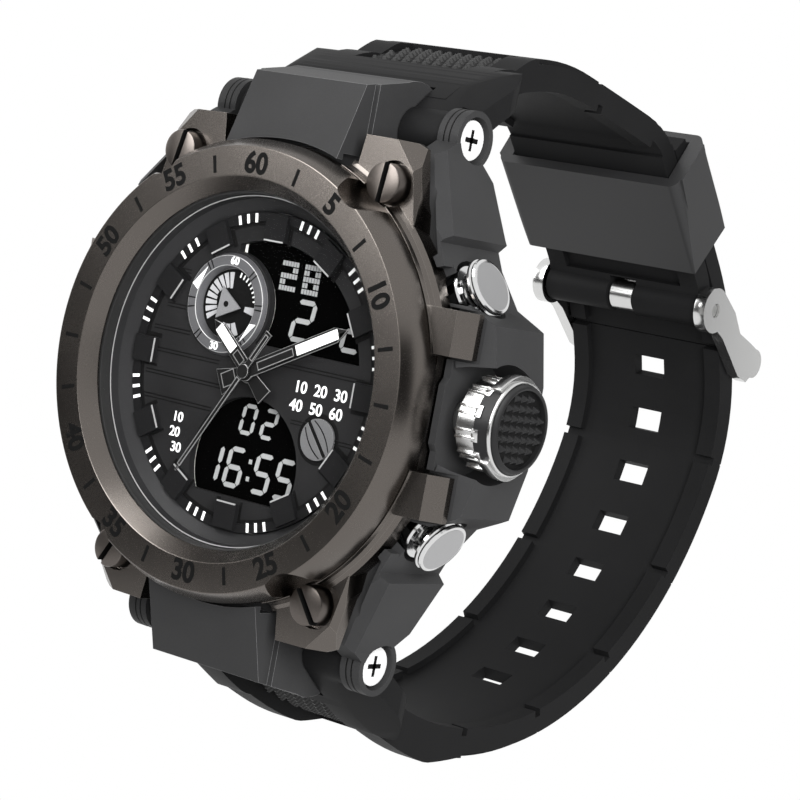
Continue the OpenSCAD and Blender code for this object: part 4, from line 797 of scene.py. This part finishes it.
# The four lug screws: plated heads flush in the case's bosses. Their cross recesses and the two
# shallow grooves turned in every boss are drawn as black crosses and rings of painted shade.
screw_face = finish("screw_face", (0.5, 0.5, 0.5), 0.32, metal=0.25, size=9000, contrast=0.03,
                    depth=0.0005)
dressed("lug_screws", screw_face, 0.05)
BOSS_OUT = 15.3
LUG_H = 2.5
LUG_Z = 25.8
bm = bmesh.new()
for side in (-1, 1):
    for end in (-1, 1):
        place = Matrix(((0, 0, side, 0), (0, side, 0, -LUG_H), (-1, 0, 0, end * LUG_Z), (0, 0, 0, 1)))
        for a, b in ((1.02, 0.23), (0.23, 1.02)):
            slab(bm, oblong(-a, -b, a, b), BOSS_OUT - 0.79, BOSS_OUT - 0.43, 0, place)
        for x in (13.6, 14.25):
            washer(bm, 2.8, 2.915, x, x + 0.14, 0, 64, place)
piece("lug_screw_recess_shade", bm, (black_paint_and_recess_shade,), "case", place=Matrix())

# The crown: a plated drum with twelve ribs, a black rubber belt with two plated lobes beyond
# it, and a rubber face with rows of small pyramids inside a smooth lip.
CROWN = 29.4
RIBS = 12
grip_rubber = finish("grip_rubber", (0.006, 0.006, 0.0062), 0.42, size=9000, depth=0.004, level=0.3)
bm = bmesh.new()
spun(bm, ((0, CROWN - 2.5), (2.1, CROWN - 2.5), (2.1, CROWN - 4.6), (3.9, CROWN - 4.9), (4.2, CROWN - 4.6),
          (4.2, CROWN - 2.6), (3.8, CROWN - 2.6), (3.8, CROWN - 1.8), (0, CROWN - 1.8)), 0, 96)
spun(bm, ((0, CROWN - 0.95), (4.4, CROWN - 0.95), (4.5, CROWN - 0.85), (4.5, CROWN - 0.62),
          (4.4, CROWN - 0.5), (4.27, CROWN - 0.52), (4.27, CROWN - 0.6), (0, CROWN - 0.6)), 0, 96)
for k in range(RIBS):
    place = Matrix.Rotation(math.radians(30 * k + 15), 4, "Z")
    for side in (-0.46, 0.24):
        slab(bm, oblong(4.1, side, 4.52, side + 0.22), CROWN - 4.5, CROWN - 2.3, 0, place)
    slab(bm, oblong(4.1, -0.6, 4.42, 0.6), CROWN - 2.7, CROWN - 1.95, 0, place)
for middle in (90, 270):
    rim = [polar(4.86 + 0.1 * math.cos(math.radians(30 * (k - 9))), middle - 45 + 5 * k)
           for k in range(19)]
    slab(bm, rim + [polar(4.1, middle + 45 - 5 * k) for k in range(19)], CROWN - 2.1, CROWN - 0.95)
rounded(bm, 0.06)
piece("crown_head_ribbed", bm, (bright,), "crown", place=outwards(0), instead=("crown_head",))

STUD_RIM = 3.5
QUARTER = Matrix.Rotation(math.pi / 4, 4, "Z")
bm = bmesh.new()
washer(bm, 3.8, 4.3, CROWN - 2.58, CROWN - 0.97, 0, 96)
spun(bm, ((0, CROWN - 0.9), (4.24, CROWN - 0.9), (4.24, CROWN - 0.35), (4.1, CROWN - 0.1),
          (3.9, CROWN - 0.04), (3.74, CROWN - 0.12), (3.7, CROWN - 0.6)), 0, 96)
washer(bm, 0, 3.74, CROWN - 0.8, CROWN - 0.55, 1, 96)
for row in range(-3, 4):
    for column in range(-3, 4):
        x = row * 0.96
        y = column * 1.06
        if math.hypot(x, y) < STUD_RIM:
            bmesh.ops.create_cone(bm, cap_ends=True, segments=4, radius1=0.58, radius2=0.1, depth=0.5,
                                  matrix=Matrix.Translation((x, y, CROWN - 0.31)) @ QUARTER)
piece("crown_grip_studded", bm, (grip_rubber, groove_shade_and_black_print), "crown", place=outwards(0),
      instead=("crown_grip",))

# The strap: two moulded halves, darker and duller than the case, with a knotted mesh moulded on
# the floor of each root window; a loose keeper; a plated buckle with its tongue.
strap_resin = finish("strap_resin", (0.006, 0.006, 0.0062), 0.5, size=7000, contrast=0.2, depth=0.012,
                     level=0.06)
keeper_resin = finish("keeper_resin", (0.013, 0.013, 0.0134), 0.42, size=7000, depth=0.008, level=0.3)
mesh_black = finish("mesh_black", (0.008, 0.008, 0.008), 0.5, size=7000, level=0.3)
for name in ("strap_12", "strap_6", "strap_tail"):
    dressed(name, strap_resin, sharp=28)
dressed("keeper", keeper_resin, 0.15)
dressed("buckle_frame", bright, 0.35)
dressed("buckle_tongue", bright, 0.08)
# y, z and heading at the lug bar; arcs of the middle line, by length and bend in degrees; which
# way is away from the wrist; where along the line the mesh begins and ends
ROOTS = {
    "short_half": ((-2.5, 25.8, 46.7), ((28, -56.5), (13.7, -1)), 1, 10.4, 18.4),
    "long_half": ((-2.5, -25.8, -41.5), ((43, 61.6),), -1, 6.6, 24.0),
}
KNOT_STEP = 1.3
MESH_HALF = 6.4
MESH_UP = 0.7
KNOT = Matrix.Translation((0, 0, 0.2)) @ Matrix.Diagonal((1, 0.8, 1, 1))


def along(start, route, s):
    """Where a strap's line is, (y, z, heading), at a distance from its lug bar."""
    y, z, heading = start
    for length, turn in route:
        run = min(s, length)
        bend = turn * run / length
        r = run * 180 / (bend * math.pi) if abs(bend) > 1e-6 else 0
        a = math.radians(heading)
        b = math.radians(heading + bend)
        y += r * (math.sin(b) - math.sin(a))
        z -= r * (math.cos(b) - math.cos(a))
        heading += bend
        s -= run
        if s <= 0:
            break
    return y, z, heading


for name, (start, route, away, first, last) in ROOTS.items():
    bm = bmesh.new()
    s = first
    row = 0
    while s < last:
        y, z, heading = along(start, route, s)
        a = math.radians(heading)
        # the strap's own frame here: x across, y along, z away from the wrist
        way = Vector((0, math.cos(a), math.sin(a)))
        up = Vector((0, -math.sin(a), math.cos(a))) * away
        spot = Vector((0, y, z)) + up * MESH_UP
        for k in range(-5, 6):
            x = k * KNOT_STEP + (KNOT_STEP / 2 if row % 2 else 0)
            if abs(x) <= MESH_HALF:
                place = turned(Vector((1, 0, 0)), way, up, spot + Vector((x, 0, 0)))
                bmesh.ops.create_cone(bm, cap_ends=True, segments=6, radius1=0.6, radius2=0.2, depth=0.5,
                                      matrix=place @ KNOT)
        s += KNOT_STEP
        row += 1
    piece(name + "_mesh", bm, (mesh_black,), name, place=Matrix())
